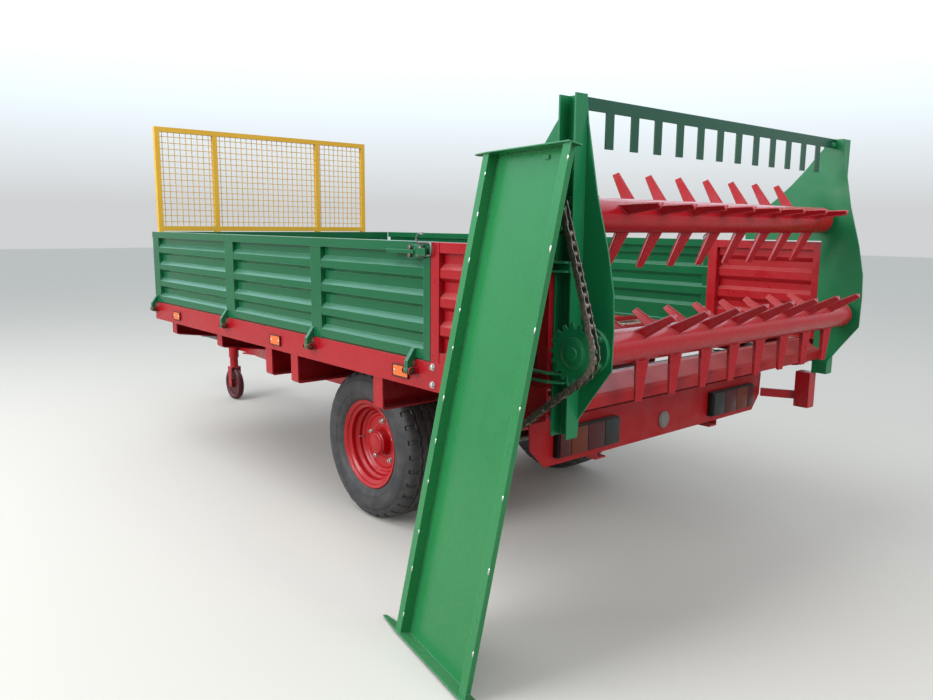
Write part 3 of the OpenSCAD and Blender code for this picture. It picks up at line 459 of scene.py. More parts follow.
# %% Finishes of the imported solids
FINISHES = {
    "main_beams": red_enamel, "cross_members": red_enamel, "side_rails": red_enamel,
    "front_rail": red_enamel, "drawbar": red_enamel, "towing_eye": bare_steel,
    "jack_leg": red_enamel, "jockey_wheel": dark_red_enamel, "axle_beam": red_enamel,
    "axle_mounts": red_enamel, "rim_left": rim_enamel, "tyre_left": rubber,
    "rim_right": rim_enamel, "tyre_right": rubber, "floor_plate": floor_enamel,
    "conveyor": beater_enamel, "conveyor_shafts": bare_steel, "ratchet_guard": red_enamel,
    "front_wall": green_enamel, "mesh_screen": yellow_enamel, "fixed_posts": red_enamel,
    "drop_side_left": green_enamel, "drop_side_right": green_enamel,
    "fixed_side_left": red_enamel, "fixed_side_right": red_enamel,
    "rear_plate_left": plate_enamel, "rear_plate_right": plate_enamel,
    "bearings": plate_enamel, "crossbar": bar_enamel, "rear_apron": rear_shaded_enamel,
    "light_bar": rear_shaded_enamel, "lamps": lens_red,
    "feed_bracket": red_enamel, "reflectors": orange_plastic, "gearbox": bare_steel,
    "shaft_bearings": bare_steel, "input_shaft": bare_steel, "cross_shaft": bare_steel,
    "beater_lower": beater_enamel, "beater_upper": beater_enamel,
    "shaft_lower": plate_enamel, "shaft_upper": plate_enamel, "drive_chain": chain_steel,
    "chain_shoe": bare_steel, "chain_guard": guard_enamel,
}
for name, node in NODES.items():
    for material_slot in node.material_slots:
        material_slot.material = FINISHES[name]
print("finished", len(NODES), "solids")

# %% [markdown]
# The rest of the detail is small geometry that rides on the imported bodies. Lengths are written in
# millimetres from the axle and the ground, as a workshop drawing would, and one function turns them
# into the frame's metres. A shape could be a linked copy for each place, but a library part is
# easier to use with few objects. So a shape is drawn once, at the origin and with its own Z
# outwards, and is then stamped into one mesh wherever a real one sits.

# %% Placing and stamping
EYE_AHEAD = 3600
EYE_ABOVE = 430
OUT_LEFT = Matrix.Rotation(math.radians(-90), 4, "Y")
OUT_RIGHT = Matrix.Rotation(math.radians(90), 4, "Y")
OUT_BACK = Matrix.Rotation(math.radians(90), 4, "X")
AS_DRAWN = Matrix.Identity(4)


def spot(x, y, z, turn=AS_DRAWN):
    place = Vector((x, y - EYE_AHEAD, z - EYE_ABOVE)) * MM
    return Matrix.Translation(place) @ turn @ Matrix.Scale(MM, 4)


def out_of_side(x):
    return OUT_LEFT if x < 0 else OUT_RIGHT


def to_mesh(bm, name="drawn"):
    mesh = bpy.data.meshes.new(name)
    bm.to_mesh(mesh)
    bm.free()
    return mesh


def stamp(bm, mesh, matrix, material=0):
    copy = mesh.copy()
    copy.transform(matrix)
    before = len(bm.faces)
    bm.from_mesh(copy)
    bpy.data.meshes.remove(copy)
    bm.faces.ensure_lookup_table()
    for face in bm.faces[before:]:
        face.material_index = material


def piece(name, bm, materials, body, slot, replaces=(), smooth=38):
    bmesh.ops.recalc_face_normals(bm, faces=bm.faces)
    for face in bm.faces:
        face.smooth = True
    for edge in bm.edges:
        edge.smooth = len(edge.link_faces) == 2 and edge.calc_face_angle() < math.radians(smooth)
    mesh = to_mesh(bm, name)
    for material in materials:
        mesh.materials.append(material)
    made = put_in_scene(name, mesh)
    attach(made, body)
    if replaces:
        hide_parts(*replaces)
    return made


print("a point over the axle on the ground is at", tuple(spot(0, 0, 0).translation))

# %% [markdown]
# Five ways of drawing cover all that follows: stacked cylinders for turned fasteners, a bevelled
# box for mouldings, a cut plate, a profile spun round its axis, and a rod swept along points. All
# of them could be modifiers on objects, but bmesh makes the final mesh at once.

# %% Drawing helpers


def stacked(rows):
    bm = bmesh.new()
    for radius, low, high, segments, top in rows:
        bmesh.ops.create_cone(
            bm,
            cap_ends=True,
            segments=segments,
            radius1=radius,
            radius2=top,
            depth=high - low,
            matrix=Matrix.Translation((0, 0, (low + high) / 2)),
        )
    return to_mesh(bm)


def bevelled_box(low, high, bevel):
    bm = bmesh.new()
    middle = [(a + b) / 2 for a, b in zip(low, high)]
    sizes = [b - a for a, b in zip(low, high)]
    stretched = Matrix.Translation(middle) @ Matrix.Diagonal((*sizes, 1))
    made = bmesh.ops.create_cube(bm, size=1.0, matrix=stretched)
    edges = list({edge for vert in made["verts"] for edge in vert.link_edges})
    bmesh.ops.bevel(
        bm, geom=edges, offset=bevel, segments=2, profile=0.5, affect="EDGES", material=-1
    )
    return to_mesh(bm)


def thicken(bm, faces, height):
    grown = bmesh.ops.extrude_face_region(bm, geom=faces)["geom"]
    verts = [part for part in grown if isinstance(part, bmesh.types.BMVert)]
    bmesh.ops.translate(bm, verts=verts, vec=(0, 0, height))


def plate(bm, outline, low, high):
    face = bm.faces.new([bm.verts.new((a, b, low)) for a, b in outline])
    thicken(bm, [face], high - low)


def turned(profile, steps, closed=False):
    bm = bmesh.new()
    verts = [bm.verts.new((radius, 0, height)) for radius, height in profile]
    pairs = list(zip(verts, verts[1:])) + ([(verts[-1], verts[0])] if closed else [])
    line = verts + [bm.edges.new(pair) for pair in pairs]
    whole = {"cent": (0, 0, 0), "axis": (0, 0, 1), "angle": math.tau, "use_merge": True}
    bmesh.ops.spin(bm, geom=line, steps=steps, **whole)
    bmesh.ops.remove_doubles(bm, verts=bm.verts, dist=0.001)
    return bm


def rod(bm, path, radius, normal, sides=6, closed=False):
    points = [Vector(point) for point in path]
    count = len(points)
    loops = []
    for i, point in enumerate(points):
        before = points[i - 1] if closed or i else point
        after = points[(i + 1) % count] if closed or i < count - 1 else point
        along = (after - before).normalized()
        side = along.cross(Vector(normal)).normalized()
        place = Matrix.Translation(point) @ as_axes(side, along.cross(side), along)
        ring = bmesh.ops.create_circle(
            bm, segments=sides, radius=radius, cap_ends=False, matrix=place
        )["verts"]
        loops.append(list({edge for vert in ring for edge in vert.link_edges}))
    pairs = list(zip(loops, loops[1:])) + ([(loops[-1], loops[0])] if closed else [])
    for first, second in pairs:
        bmesh.ops.bridge_loops(bm, edges=first + second)
    if not closed:
        bmesh.ops.holes_fill(bm, edges=loops[0] + loops[-1], sides=sides)


print("a box has", len(bevelled_box((0, 0, 0), (9, 9, 9), 1).polygons), "faces when bevelled")

# %% [markdown]
# The real tyre is moulded: a carcass with fine rings on the sidewall, zigzag grooves round the
# crown and cuts in the shoulder. Displacement could give the tread, but it would need a dense mesh.
# So a profile is spun about the axle. The grooves' points are pushed sideways every few steps of
# the spin, which makes the zigzag, and the cuts are patches of faces that are inset and sunk.

# %% Tyres
TRACK_HALF = 618
AXLE_Z = 362
TYRE_STEPS = 160
# radius, place across the tyre: half of the outside, from the bead to the crown's middle
TYRE_HALF = [
    (203.0, 88), (203.2, 100), (214.8, 103), (223, 113), (227, 117.5), (229, 118), (231, 120),
    (240, 124.5), (250, 127.5), (252, 126.6), (255, 126.9), (257, 129.2), (275, 131.6),
    (292, 131.8), (306, 129.6), (316, 126.6), (318, 124.6), (321, 123.6), (323, 124.6),
    (334, 119.4), (346, 112.5), (352, 106), (356, 97), (359.5, 84), (361, 70), (361.2, 66),
    (353, 63), (353, 57), (361.4, 54), (361.8, 38), (361.9, 25), (353.5, 22.5), (353.5, 17.5),
    (361.9, 15), (362, 6),
]
TYRE_INSIDE = [(236, 108), (330, 90), (330, -90), (236, -108)]
ZIGZAG = (0, 4.5, 0, -4.5)
GROOVED_R, GROOVED_HALF = 350, 68
CUT_EVERY = 5
CUT_R = (336, 360.5)
CUT_ACROSS = (76, 118)
CUT_SLOPE, CUT_DEPTH = 2.0, 8.0
CUT_BORDER = 2.5


def steps_round(point):
    return (math.atan2(point.y, point.x) % math.tau) / math.tau * TYRE_STEPS


def zigzag(vert):
    if math.hypot(vert.co.x, vert.co.y) > GROOVED_R and abs(vert.co.z) < GROOVED_HALF:
        vert.co.z += ZIGZAG[round(steps_round(vert.co)) % len(ZIGZAG)]


def in_a_cut(face):
    middle = face.calc_center_median()
    turn = (0, 1) if middle.z > 0 else (2, 3)
    if math.floor(steps_round(middle)) % CUT_EVERY not in turn:
        return False
    radius = math.hypot(middle.x, middle.y)
    return CUT_R[0] < radius < CUT_R[1] and CUT_ACROSS[0] < abs(middle.z) < CUT_ACROSS[1]


def add_tyre(side_name, x):
    outside = [(r, -w) for r, w in TYRE_HALF] + [(r, w) for r, w in reversed(TYRE_HALF)]
    drawn = turned(outside + TYRE_INSIDE, TYRE_STEPS, closed=True)
    for vert in drawn.verts:
        zigzag(vert)
    bmesh.ops.recalc_face_normals(drawn, faces=drawn.faces)
    cuts = [face for face in drawn.faces if in_a_cut(face)]
    for thickness, depth in ((CUT_BORDER, 0.0), (CUT_SLOPE, -CUT_DEPTH)):
        bmesh.ops.inset_region(
            drawn, faces=cuts, thickness=thickness, depth=depth, use_even_offset=True
        )
    bm = bmesh.new()
    stamp(bm, to_mesh(drawn), spot(x, 0, AXLE_Z, out_of_side(x)))
    replaced = ["tyre_" + side_name]
    body = "wheel_" + side_name
    return piece("tyre_treaded_" + side_name, bm, [rubber], body, "tyre_rubber", replaced, 32)


tyres = [add_tyre("left", -TRACK_HALF), add_tyre("right", TRACK_HALF)]
print("polygons of a tyre:", len(tyres[0].data.polygons))

# %% [markdown]
# The wheel is pressed from sheet steel, so every corner of its profile is a small curve. Bevels on
# a plain disc could imitate that, but a pressed profile has its own rhythm. So the whole section is
# spun: the rolled lip, the bead seat, the well, the welded disc and the domed hub cap each catch a
# ring of light. Five nuts on their studs stand round the hub, and a valve stands in the well.

# %% Wheels
# radius, place outwards: the side towards the tyre, then the lip and the dish as they are seen
RIM_PROFILE = [
    (30.2, -96), (70, -96), (70, 0), (138, 8), (158, 22), (160, 18), (160, -20), (176, -40),
    (176, -88), (194, -98), (196, -111), (212, -111), (214, -109), (214, -106), (202, -103),
    (200, -94), (182, -84), (182, -40), (166, -20), (166, 46), (182, 62), (182, 84), (200, 94),
    (202, 103), (213, 105), (214, 107), (214, 109.5), (212.5, 111), (208, 111), (205.5, 109.5),
    (204, 107), (201, 105.5), (198, 105.5), (195.5, 103.5), (194.5, 98), (192.5, 95.5),
    (181, 91), (178, 89.5), (176.5, 86), (176, 70), (174.5, 65.5), (171, 62), (163.5, 56),
    (161, 53), (160, 48), (160, 41), (158.5, 38), (155, 36.5), (151, 35), (148, 32),
    (145, 27.5), (141, 24.5), (136, 22.5), (131, 22), (128, 24), (124, 25.5), (120, 25.5),
    (117, 24), (112, 22), (86, 18.5), (80, 18.5), (76, 20.5), (73, 20.5), (70, 18.5), (67, 20),
    (64, 25), (62, 31), (60.5, 52), (59.5, 58), (57.5, 61.5), (54, 62.5), (52.5, 64),
    (51.5, 68), (49, 71), (45, 72), (43, 71), (41, 71.5), (36, 73.6), (24, 75.4), (10, 76),
    (0, 76),
]
RIM_STEPS = 128
NUTS = 5
NUT_CIRCLE, NUT_SEAT = 102, 20.5
VALVE_AT = (0, 148, 30)
# stacked cylinders: radius, low, high, segments, radius at the top
WASHER_NUT_STUD = [
    (13.5, 0, 2.2, 24, 13.5), (11, 2, 12.5, 6, 11), (9.4, 12.4, 13.4, 24, 8.0),
    (5.6, 12, 20, 24, 5.6),
]
VALVE = [(5, 0, 20, 12, 5), (3.6, 19, 34, 12, 3.6)]


def add_wheel(side_name, x):
    hub = spot(x, 0, AXLE_Z, out_of_side(x))
    bm = bmesh.new()
    stamp(bm, to_mesh(turned(RIM_PROFILE, RIM_STEPS)), hub)
    nut = stacked(WASHER_NUT_STUD)
    reach = math.copysign(NUT_CIRCLE, -x)
    for i in range(NUTS):
        around = Matrix.Rotation(math.tau * i / NUTS, 4, "Z")
        stamp(bm, nut, hub @ around @ Matrix.Translation((reach, 0, NUT_SEAT)), 1)
    stamp(bm, stacked(VALVE), hub @ Matrix.Translation(VALVE_AT), 1)
    replaced = ["rim_" + side_name]
    finishes = [rim_enamel, zinc_steel]
    body = "wheel_" + side_name
    return piece("wheel_disc_" + side_name, bm, finishes, body, "rim_red", replaced, 50)


wheels = [add_wheel("left", -TRACK_HALF), add_wheel("right", TRACK_HALF)]
print("polygons of a wheel:", len(wheels[0].data.polygons))

# %% [markdown]
# A roller chain has two kinds of link in turn: an outer pair of waisted plates joined by pins, and
# an inner pair round two rollers. An array along a curve could place them, but its links would not
# sit on the teeth. So the path is worked out first, as straight runs and arcs round the three
# sprockets, and a whole even number of links is shared out on it.

# %% Path of the drive chain
CHAIN_X = -965
CHAIN_PITCH = 31.75


def pitch_radius(teeth):
    return CHAIN_PITCH / (2 * math.sin(math.pi / teeth))


# place along the machine, height, pitch radius: lower beater, cross shaft, upper beater
SPROCKETS = [
    (-1480, 1020, pitch_radius(17)),
    (-950, 592, pitch_radius(13)),
    (-1362, 1440, pitch_radius(13)),
]


def straight_run(first, second):
    along, up = second[0] - first[0], second[1] - first[1]
    far = math.hypot(along, up)
    less = first[2] - second[2]
    return math.atan2(up, along) - math.acos(less / far), math.sqrt(far**2 - less**2)


RUNS = [straight_run(SPROCKETS[i - 1], SPROCKETS[i]) for i in (1, 2, 0)]
ARCS = [((RUNS[i][0] - RUNS[i - 1][0]) % math.tau) * SPROCKETS[i][2] for i in range(3)]
CHAIN_LENGTH = sum(ARCS) + sum(length for normal, length in RUNS)
LINKS = 2 * round(CHAIN_LENGTH / CHAIN_PITCH / 2)


def chain_point(s):
    for i, (y, z, r) in enumerate(SPROCKETS):
        if s <= ARCS[i]:
            angle = RUNS[i - 1][0] + s / r
            return Vector((0, y + r * math.cos(angle), z + r * math.sin(angle)))
        s -= ARCS[i]
        normal, length = RUNS[i]
        if s <= length:
            across = Vector((0, math.cos(normal), math.sin(normal)))
            return Vector((0, y, z)) + across * r + Vector((0, -across.z, across.y)) * s
        s -= length
    return chain_point(0)


print("length of the drive chain:", round(CHAIN_LENGTH), "mm in", LINKS, "links")

# %% [markdown]
# Each link is stamped from one point of the path to the next. The chain is a fixed loop while its
# sprockets turn, so beside them the middle of the links is left open: there the rollers are left
# out and the pins are stubs at the plates, and no tooth cuts through them.

# %% Drive chain
LINK_PLATE = 2.7
ROUND_SIDES = 14
TOOTH_ROOM = 19  # a link nearer than this to a pitch circle is open in the middle
# radius of the ends, half height of the waist, half width over the plates
OUTER_PLATES = (11, 8.6, 12.8)
INNER_PLATES = (12, 9.4, 10.2)
# radius, low, high of what is round: away from the sprockets, then beside them
PINS = ([(5, -14.2, 14.2)], [(5, 11, 14.2), (5, -14.2, -11)])
ROLLERS = ([(9.4, -8.6, 8.6)], [])


def waisted(length, end, waist):
    angles = [math.radians(a) for a in (60, 100, 140, 180, 220, 260, 300)]
    left = [(end * math.cos(a), end * math.sin(a)) for a in angles]
    right = [(length - a, -b) for a, b in left]
    return left + [(length / 2, -waist)] + right + [(length / 2, waist)]


def link_mesh(end, waist, out, rounds):
    bm = bmesh.new()
    for low in (-out, out - LINK_PLATE):
        plate(bm, waisted(CHAIN_PITCH, end, waist), low, low + LINK_PLATE)
    for radius, low, high in rounds:
        barrel = stacked([(radius, low, high, ROUND_SIDES, radius)])
        for at in (0, CHAIN_PITCH):
            stamp(bm, barrel, Matrix.Translation((at, 0, 0)))
    return to_mesh(bm)


def room_at(point):
    return min(math.hypot(point.y - y, point.z - z) - r for y, z, r in SPROCKETS)


def in_chain_plane(along):
    sideways = Vector((1, 0, 0))
    return as_axes(along, sideways.cross(along), sideways)


def add_drive_chain():
    step = CHAIN_LENGTH / LINKS
    outer = [link_mesh(*OUTER_PLATES, rounds) for rounds in PINS]
    inner = [link_mesh(*INNER_PLATES, rounds) for rounds in ROLLERS]
    bm = bmesh.new()
    for i in range(LINKS):
        start, end = chain_point(i * step), chain_point((i + 1) % LINKS * step)
        axes = in_chain_plane((end - start).normalized())
        beside = min(room_at(start), room_at(end)) <= TOOTH_ROOM
        stamp(bm, (inner if i % 2 else outer)[beside], spot(CHAIN_X, start.y, start.z, axes))
    return piece("roller_chain", bm, [chain_steel], "frame", "chain_steel", ["drive_chain"])


drive_chain = add_drive_chain()
print("polygons of the drive chain:", len(drive_chain.data.polygons))

# %% [markdown]
# The floor conveyor drags the load to the beaters on two round-link chains, with slats of folded
# channel across them. The links are rings of bent rod, each turned a right angle from the last.
# The path round the two shafts is a function of the length run, as for the drive chain, so that
# the links close the loop without a gap.

# %% Floor conveyor
CONVEYOR_REAR, CONVEYOR_FRONT = -1222, 1990
CONVEYOR_RUN = CONVEYOR_FRONT - CONVEYOR_REAR
CONVEYOR_Z = 854.3
CONVEYOR_R = 35
CONVEYOR_TURN = math.pi * CONVEYOR_R
CONVEYOR_LENGTH = 2 * (CONVEYOR_RUN + CONVEYOR_TURN)
STRAND_X = 560
ROUND_PITCH = 36
ROUND_HALF, ROUND_BEND, ROUND_WIRE = 13, 9, 4
SLAT_HALF = 800
SLAT_STEP = 260
FIRST_SLAT, LAST_SLAT_ROOM = 60, 80
SLAT_ABOVE = 40.5
SLAT_SECTION = [(-20, 0), (20, 0), (20, 20), (16, 20), (16, 4), (-16, 4), (-16, 20), (-20, 20)]


def round_link():
    bm = bmesh.new()
    arc = [math.radians(a) for a in (-90, -45, 0, 45, 90)]
    bends = [(ROUND_BEND * math.cos(a), ROUND_BEND * math.sin(a)) for a in arc]
    ring = [(ROUND_HALF + a, b, 0) for a, b in bends] + [(-ROUND_HALF - a, -b, 0) for a, b in bends]
    rod(bm, ring, ROUND_WIRE, (0, 0, 1), closed=True)
    return to_mesh(bm)


def round_shaft(shaft_y, angle):
    return shaft_y + CONVEYOR_R * math.cos(angle), CONVEYOR_Z + CONVEYOR_R * math.sin(angle)


def conveyor_point(s):
    s %= CONVEYOR_LENGTH
    if s < CONVEYOR_RUN:
        return CONVEYOR_REAR + s, CONVEYOR_Z + CONVEYOR_R
    s -= CONVEYOR_RUN
    if s < CONVEYOR_TURN:
        return round_shaft(CONVEYOR_FRONT, math.pi / 2 - s / CONVEYOR_R)
    s -= CONVEYOR_TURN
    if s < CONVEYOR_RUN:
        return CONVEYOR_FRONT - s, CONVEYOR_Z - CONVEYOR_R
    return round_shaft(CONVEYOR_REAR, -math.pi / 2 - (s - CONVEYOR_RUN) / CONVEYOR_R)


def add_strands(bm):
    link = round_link()
    count = 2 * round(CONVEYOR_LENGTH / ROUND_PITCH / 2)
    step = CONVEYOR_LENGTH / count
    for x in (-STRAND_X, STRAND_X):
        for i in range(count):
            y, z = conveyor_point((i + 0.5) * step)
            next_y, next_z = conveyor_point((i + 0.6) * step)
            axes = in_chain_plane(Vector((0, next_y - y, next_z - z)).normalized())
            roll = Matrix.Rotation(math.radians(45 if i % 2 else -45), 4, "X")
            stamp(bm, link, spot(x, y, z, axes @ roll))


def add_slats(bm):
    drawn = bmesh.new()
    plate(drawn, SLAT_SECTION, -SLAT_HALF, SLAT_HALF)
    slat = to_mesh(drawn)
    lying = Matrix(((0, 0, 1), (1, 0, 0), (0, 1, 0))).to_4x4()
    upside_down = lying @ Matrix.Rotation(math.pi, 4, "Z")
    count = int((CONVEYOR_RUN - LAST_SLAT_ROOM) / SLAT_STEP) + 1
    for i in range(count):
        y = CONVEYOR_REAR + FIRST_SLAT + i * SLAT_STEP
        stamp(bm, slat, spot(0, y, CONVEYOR_Z + SLAT_ABOVE, lying), 1)
        if i < count - 1:
            stamp(bm, slat, spot(0, y + SLAT_STEP / 2, CONVEYOR_Z - SLAT_ABOVE, upside_down), 1)


def add_conveyor():
    bm = bmesh.new()
    add_strands(bm)
    add_slats(bm)
    finishes = [chain_steel, conveyor_enamel]
    return piece("chain_and_slats", bm, finishes, "frame", "conveyor_red", ["conveyor"])


conveyor = add_conveyor()
print("polygons of the conveyor:", len(conveyor.data.polygons))

# %% [markdown]
# The tail lamps are moulded boxes with four windows: a dark red one, an amber one, a second dark
# red one and a clear one that looks grey-green when it is off. Colours on one box would leave out
# the joints between the windows, so each window is a bevelled block that stands proud of the shell.
# The right lamp is the left one mirrored, and a round reflector sits between the two.

# %% Lamps and the round reflector between them
LAMP_BACK_Y = -1151.3
LAMP_X, LAMP_Z = 510, 615
LAMP_HALF, LAMP_HALF_HEIGHT, LAMP_DEPTH = 175, 55, 27
WINDOW_HALF_HEIGHT, WINDOW_SUNK, WINDOW_OUT = 51, 25, 35.5
WINDOW_BORDER, WINDOW_GAP = 3, 2
# width of each window from the outside inwards, and its material's place in the list
WINDOWS = [(60, 1), (92, 2), (98, 1), (88, 3)]
ROUND_REFLECTOR = [(36, 0, 5, 40, 36), (30, 4.5, 9, 40, 28)]
ROUND_REFLECTOR_Z = 597
SHELL_BEVEL, WINDOW_BEVEL = 3, 3.5


def add_lamps():
    bm = bmesh.new()
    corner = (LAMP_HALF, LAMP_HALF_HEIGHT, LAMP_DEPTH)
    shell = bevelled_box((-LAMP_HALF, -LAMP_HALF_HEIGHT, 0), corner, SHELL_BEVEL)
    for side in (-1, 1):
        stamp(bm, shell, spot(side * LAMP_X, LAMP_BACK_Y, LAMP_Z, OUT_BACK))
        mirrored = OUT_BACK @ Matrix.Scale(-side, 4, (1, 0, 0))
        place = -LAMP_HALF + WINDOW_BORDER
        for width, material in WINDOWS:
            low = (place, -WINDOW_HALF_HEIGHT, WINDOW_SUNK)
            high = (place + width, WINDOW_HALF_HEIGHT, WINDOW_OUT)
            lens = bevelled_box(low, high, WINDOW_BEVEL)
            stamp(bm, lens, spot(side * LAMP_X, LAMP_BACK_Y, LAMP_Z, mirrored), material)
            place += width + WINDOW_GAP
    disc_at = spot(0, LAMP_BACK_Y, ROUND_REFLECTOR_Z, OUT_BACK)
    stamp(bm, stacked(ROUND_REFLECTOR), disc_at, 4)
    finishes = [lamp_shell, lens_red, lens_amber, lens_clear, grey_plastic]
    return piece("lamp_units", bm, finishes, "frame", "lamp_lens", ["lamps"])


lamps = add_lamps()
print("lamp windows:", 2 * len(WINDOWS), "and polygons:", len(lamps.data.polygons))

# %% [markdown]
# Bolts, nuts and screws say where the real machine comes apart. They could be copied by hand, but
# they follow from the places of what they hold. So each list below is worked out from those places
# and from the direction that the head points in, and one table says what kind of fastener it takes.
# All fasteners of a row become a single mesh.

# %% Fasteners
SIDE_X = 950
ARM_X, ARM_PIN_Z, ARM_HALF = 977, 847, 22
ARM_Y = (-656, 110, 1036, 2096)
REFLECTOR_Y = (1762, 476, -574)
PLATE_X = 893.3
RAIL_END_Y, RAIL_END_Z = -773, (874, 806)
BRACKET_X, BRACKET_Y, BRACKET_Z = 426, (-95, 95), (440, 480)
GEARBOX_X, GEARBOX_BACK_Y, GEARBOX_Z = (-72, 0, 72), -1045, (530, 620)
CROSSBAR_X, CROSSBAR_BACK_Y, CROSSBAR_Z = (-850, 850), -1388, 1772
LENS_X, LENS_Z, SCREW_REACH = 957, 831, (-38, 38)
# place along the machine, height, radius of the bolts' circle
BEARINGS = [(-1480, 1020, 60), (-1362, 1440, 45)]


def bolt_mesh(across, head, washer):
    corner, chamfer, flat_end = across / math.sqrt(3), across / 2 - 0.4, across / 2 - 2
    return stacked(
        [
            (washer, 0, 2, 24, washer),
            (corner, 1.9, head, 6, corner),
            (chamfer, head - 0.1, head + 0.8, 24, flat_end),
        ]
    )


def screw_mesh(radius, height):
    dome = [(radius, 0), (radius * 0.97, height * 0.4), (radius * 0.7, height * 0.85), (0, height)]
    return to_mesh(turned(dome, 20))


def on_both_sides(rows):
    left = [(-x, y, z, OUT_LEFT) for x, y, z in rows]
    return left + [(x, y, z, OUT_RIGHT) for x, y, z in rows]


def bearing_bolts():
    places = []
    for y, z, circle in BEARINGS:
        for quarter in range(4):
            angle = math.radians(45 + 90 * quarter)
            places.append((PLATE_X, y + circle * math.cos(angle), z + circle * math.sin(angle)))
    return on_both_sides(places)


def pin_heads():
    return [
        (x, y + ARM_HALF * way, ARM_PIN_Z, OUT_BACK if way < 0 else OUT_BACK.inverted())
        for x in (-ARM_X, ARM_X)
        for y in ARM_Y
        for way in (-1, 1)
    ]


BOLT = bolt_mesh(18, 9, 14)
BIG_BOLT = bolt_mesh(22, 11, 17)
SCREW = screw_mesh(5, 3)
rail_ends = on_both_sides([(SIDE_X, RAIL_END_Y, z) for z in RAIL_END_Z])
axle_places = on_both_sides([(BRACKET_X, y, z) for y in BRACKET_Y for z in BRACKET_Z])
box_places = [(x, GEARBOX_BACK_Y, z, OUT_BACK) for x in GEARBOX_X for z in GEARBOX_Z]
bar_places = [(x, CROSSBAR_BACK_Y, CROSSBAR_Z, OUT_BACK) for x in CROSSBAR_X]
lens_places = on_both_sides([(LENS_X, y + a, LENS_Z) for y in REFLECTOR_Y for a in SCREW_REACH])
# name, drawn shape, places, finish, slot
FASTENERS = [
    ("rail_end_bolts", BOLT, rail_ends, zinc_steel, "bare_steel"),
    ("bearing_bolts", BOLT, bearing_bolts(), plate_enamel, "plate_green"),
    ("hinge_pin_heads", BOLT, pin_heads(), rusty_steel, "bare_steel"),
    ("axle_bolts", BIG_BOLT, axle_places, rusty_steel, "bare_steel"),
    ("gearbox_bolts", BOLT, box_places, bare_steel, "bare_steel"),
    ("crossbar_bolts", BOLT, bar_places, plate_enamel, "plate_green"),
    ("reflector_screws", SCREW, lens_places, zinc_steel, "bare_steel"),
]
for name, mesh, places, material, slot in FASTENERS:
    bm = bmesh.new()
    for place in places:
        stamp(bm, mesh, spot(*place))
    piece(name, bm, [material], "frame", slot)
print("fasteners on the frame:", sum(len(row[2]) for row in FASTENERS))

# %% [markdown]
# Each reflector sits in a thin dark frame. Four strips could make one, but they would show joints
# at the corners. So one face is inset, its middle is taken away, and the rest is thickened.

# %% Reflector frames
FRAME_SIZE = (50, 104, 1)
FRAME_STRIP, FRAME_THICK = 4.5, 8.5
FRAME_X, FRAME_Z = SIDE_X + 0.2, 831.3


def add_reflector_frames():
    drawn = bmesh.new()
    bmesh.ops.create_grid(drawn, x_segments=1, y_segments=1, size=0.5)
    bmesh.ops.scale(drawn, verts=drawn.verts, vec=FRAME_SIZE)
    faces = list(drawn.faces)
    bmesh.ops.inset_region(drawn, faces=faces, thickness=FRAME_STRIP, use_boundary=True)
    middle = [face for face in drawn.faces if face.calc_center_median().length < 1]
    bmesh.ops.delete(drawn, geom=middle, context="FACES")
    thicken(drawn, list(drawn.faces), FRAME_THICK)
    border = to_mesh(drawn)
    bm = bmesh.new()
    for y in REFLECTOR_Y:
        for x in (-FRAME_X, FRAME_X):
            stamp(bm, border, spot(x, y, FRAME_Z, out_of_side(x)))
    return piece("reflector_frames", bm, [lamp_shell], "frame", "reflector_orange")


borders = add_reflector_frames()
print("polygons of the reflectors' frames:", len(borders.data.polygons))

# %% [markdown]
# A tine is two steel blades welded to the tube and to each other. A bump could hint at the welds,
# but their outline shows against the tube. So the weld along the foot and the rounded ridge are
# thin rods, and the one along the foot follows the curve of the tube.

# %% Welds and ridges of the beaters
TUBE_R = 57
TINE_TIP = 190
BLADE_TURN = 48
TINE_PITCH = 190
TINES = 8
WELD_R, RIDGE_R = 5.2, 3.4
RIDGE_Y = -2.5
WELD_REACHES = (0, 8, 16, 24, 32, 40)
WELD_STANDS = 0.5
# name, place along the machine, height, and for each row its angle and its shift along the tube
BEATERS = [
    ("lower", -1480, 1020, [(268, 12), (148, -12), (28, 40)]),
    ("upper", -1362, 1440, [(52, -12), (172, 12), (292, 60)]),
]
HUB_X = -967.4
HUB_RING = [(35, 0), (50, 0), (51, 1), (50, 2.4), (44, 2.8), (42, 4.4), (36, 4.8), (35, 4.8)]


def tine_welds():
    bm = bmesh.new()
    for side in (-1, 1):
        angle = math.radians(side * BLADE_TURN)
        path = []
        for out in WELD_REACHES:
            y = math.cos(angle) * out
            height = math.sqrt(TUBE_R**2 - y**2) + WELD_STANDS
            path.append((-math.sin(angle) * out, y, height))
        rod(bm, path, WELD_R, (0, 0, 1))
    rod(bm, [(0, RIDGE_Y, TUBE_R), (0, RIDGE_Y, TINE_TIP)], RIDGE_R, (0, 1, 0), sides=8)
    return to_mesh(bm)


def add_beater_welds(name, y, z, rows):
    weld = tine_welds()
    bm = bmesh.new()
    for angle, shift in rows:
        turn = Matrix.Rotation(math.radians(angle - 90), 4, "X")
        for i in range(TINES):
            x = (i - (TINES - 1) / 2) * TINE_PITCH + shift
            stamp(bm, weld, spot(x, y, z, turn))
    stamp(bm, to_mesh(turned(HUB_RING, 48)), spot(HUB_X, y, z, OUT_LEFT), 1)
    finishes = [beater_enamel, plate_enamel]
    return piece("beater_welds_" + name, bm, finishes, "beater_" + name, "beater_red")


welds = [add_beater_welds(*row) for row in BEATERS]
print("polygons of the welds:", sum(len(weld.data.polygons) for weld in welds))

# %% [markdown]
# At its rear top corner each drop side has a bail: a rod bent to a U that holds it to the red post,
# with a small hook above. A curve object could be bevelled into such a rod, but the sweep from
# above gives a closed mesh with the other pieces' units. The right side is the left one mirrored.

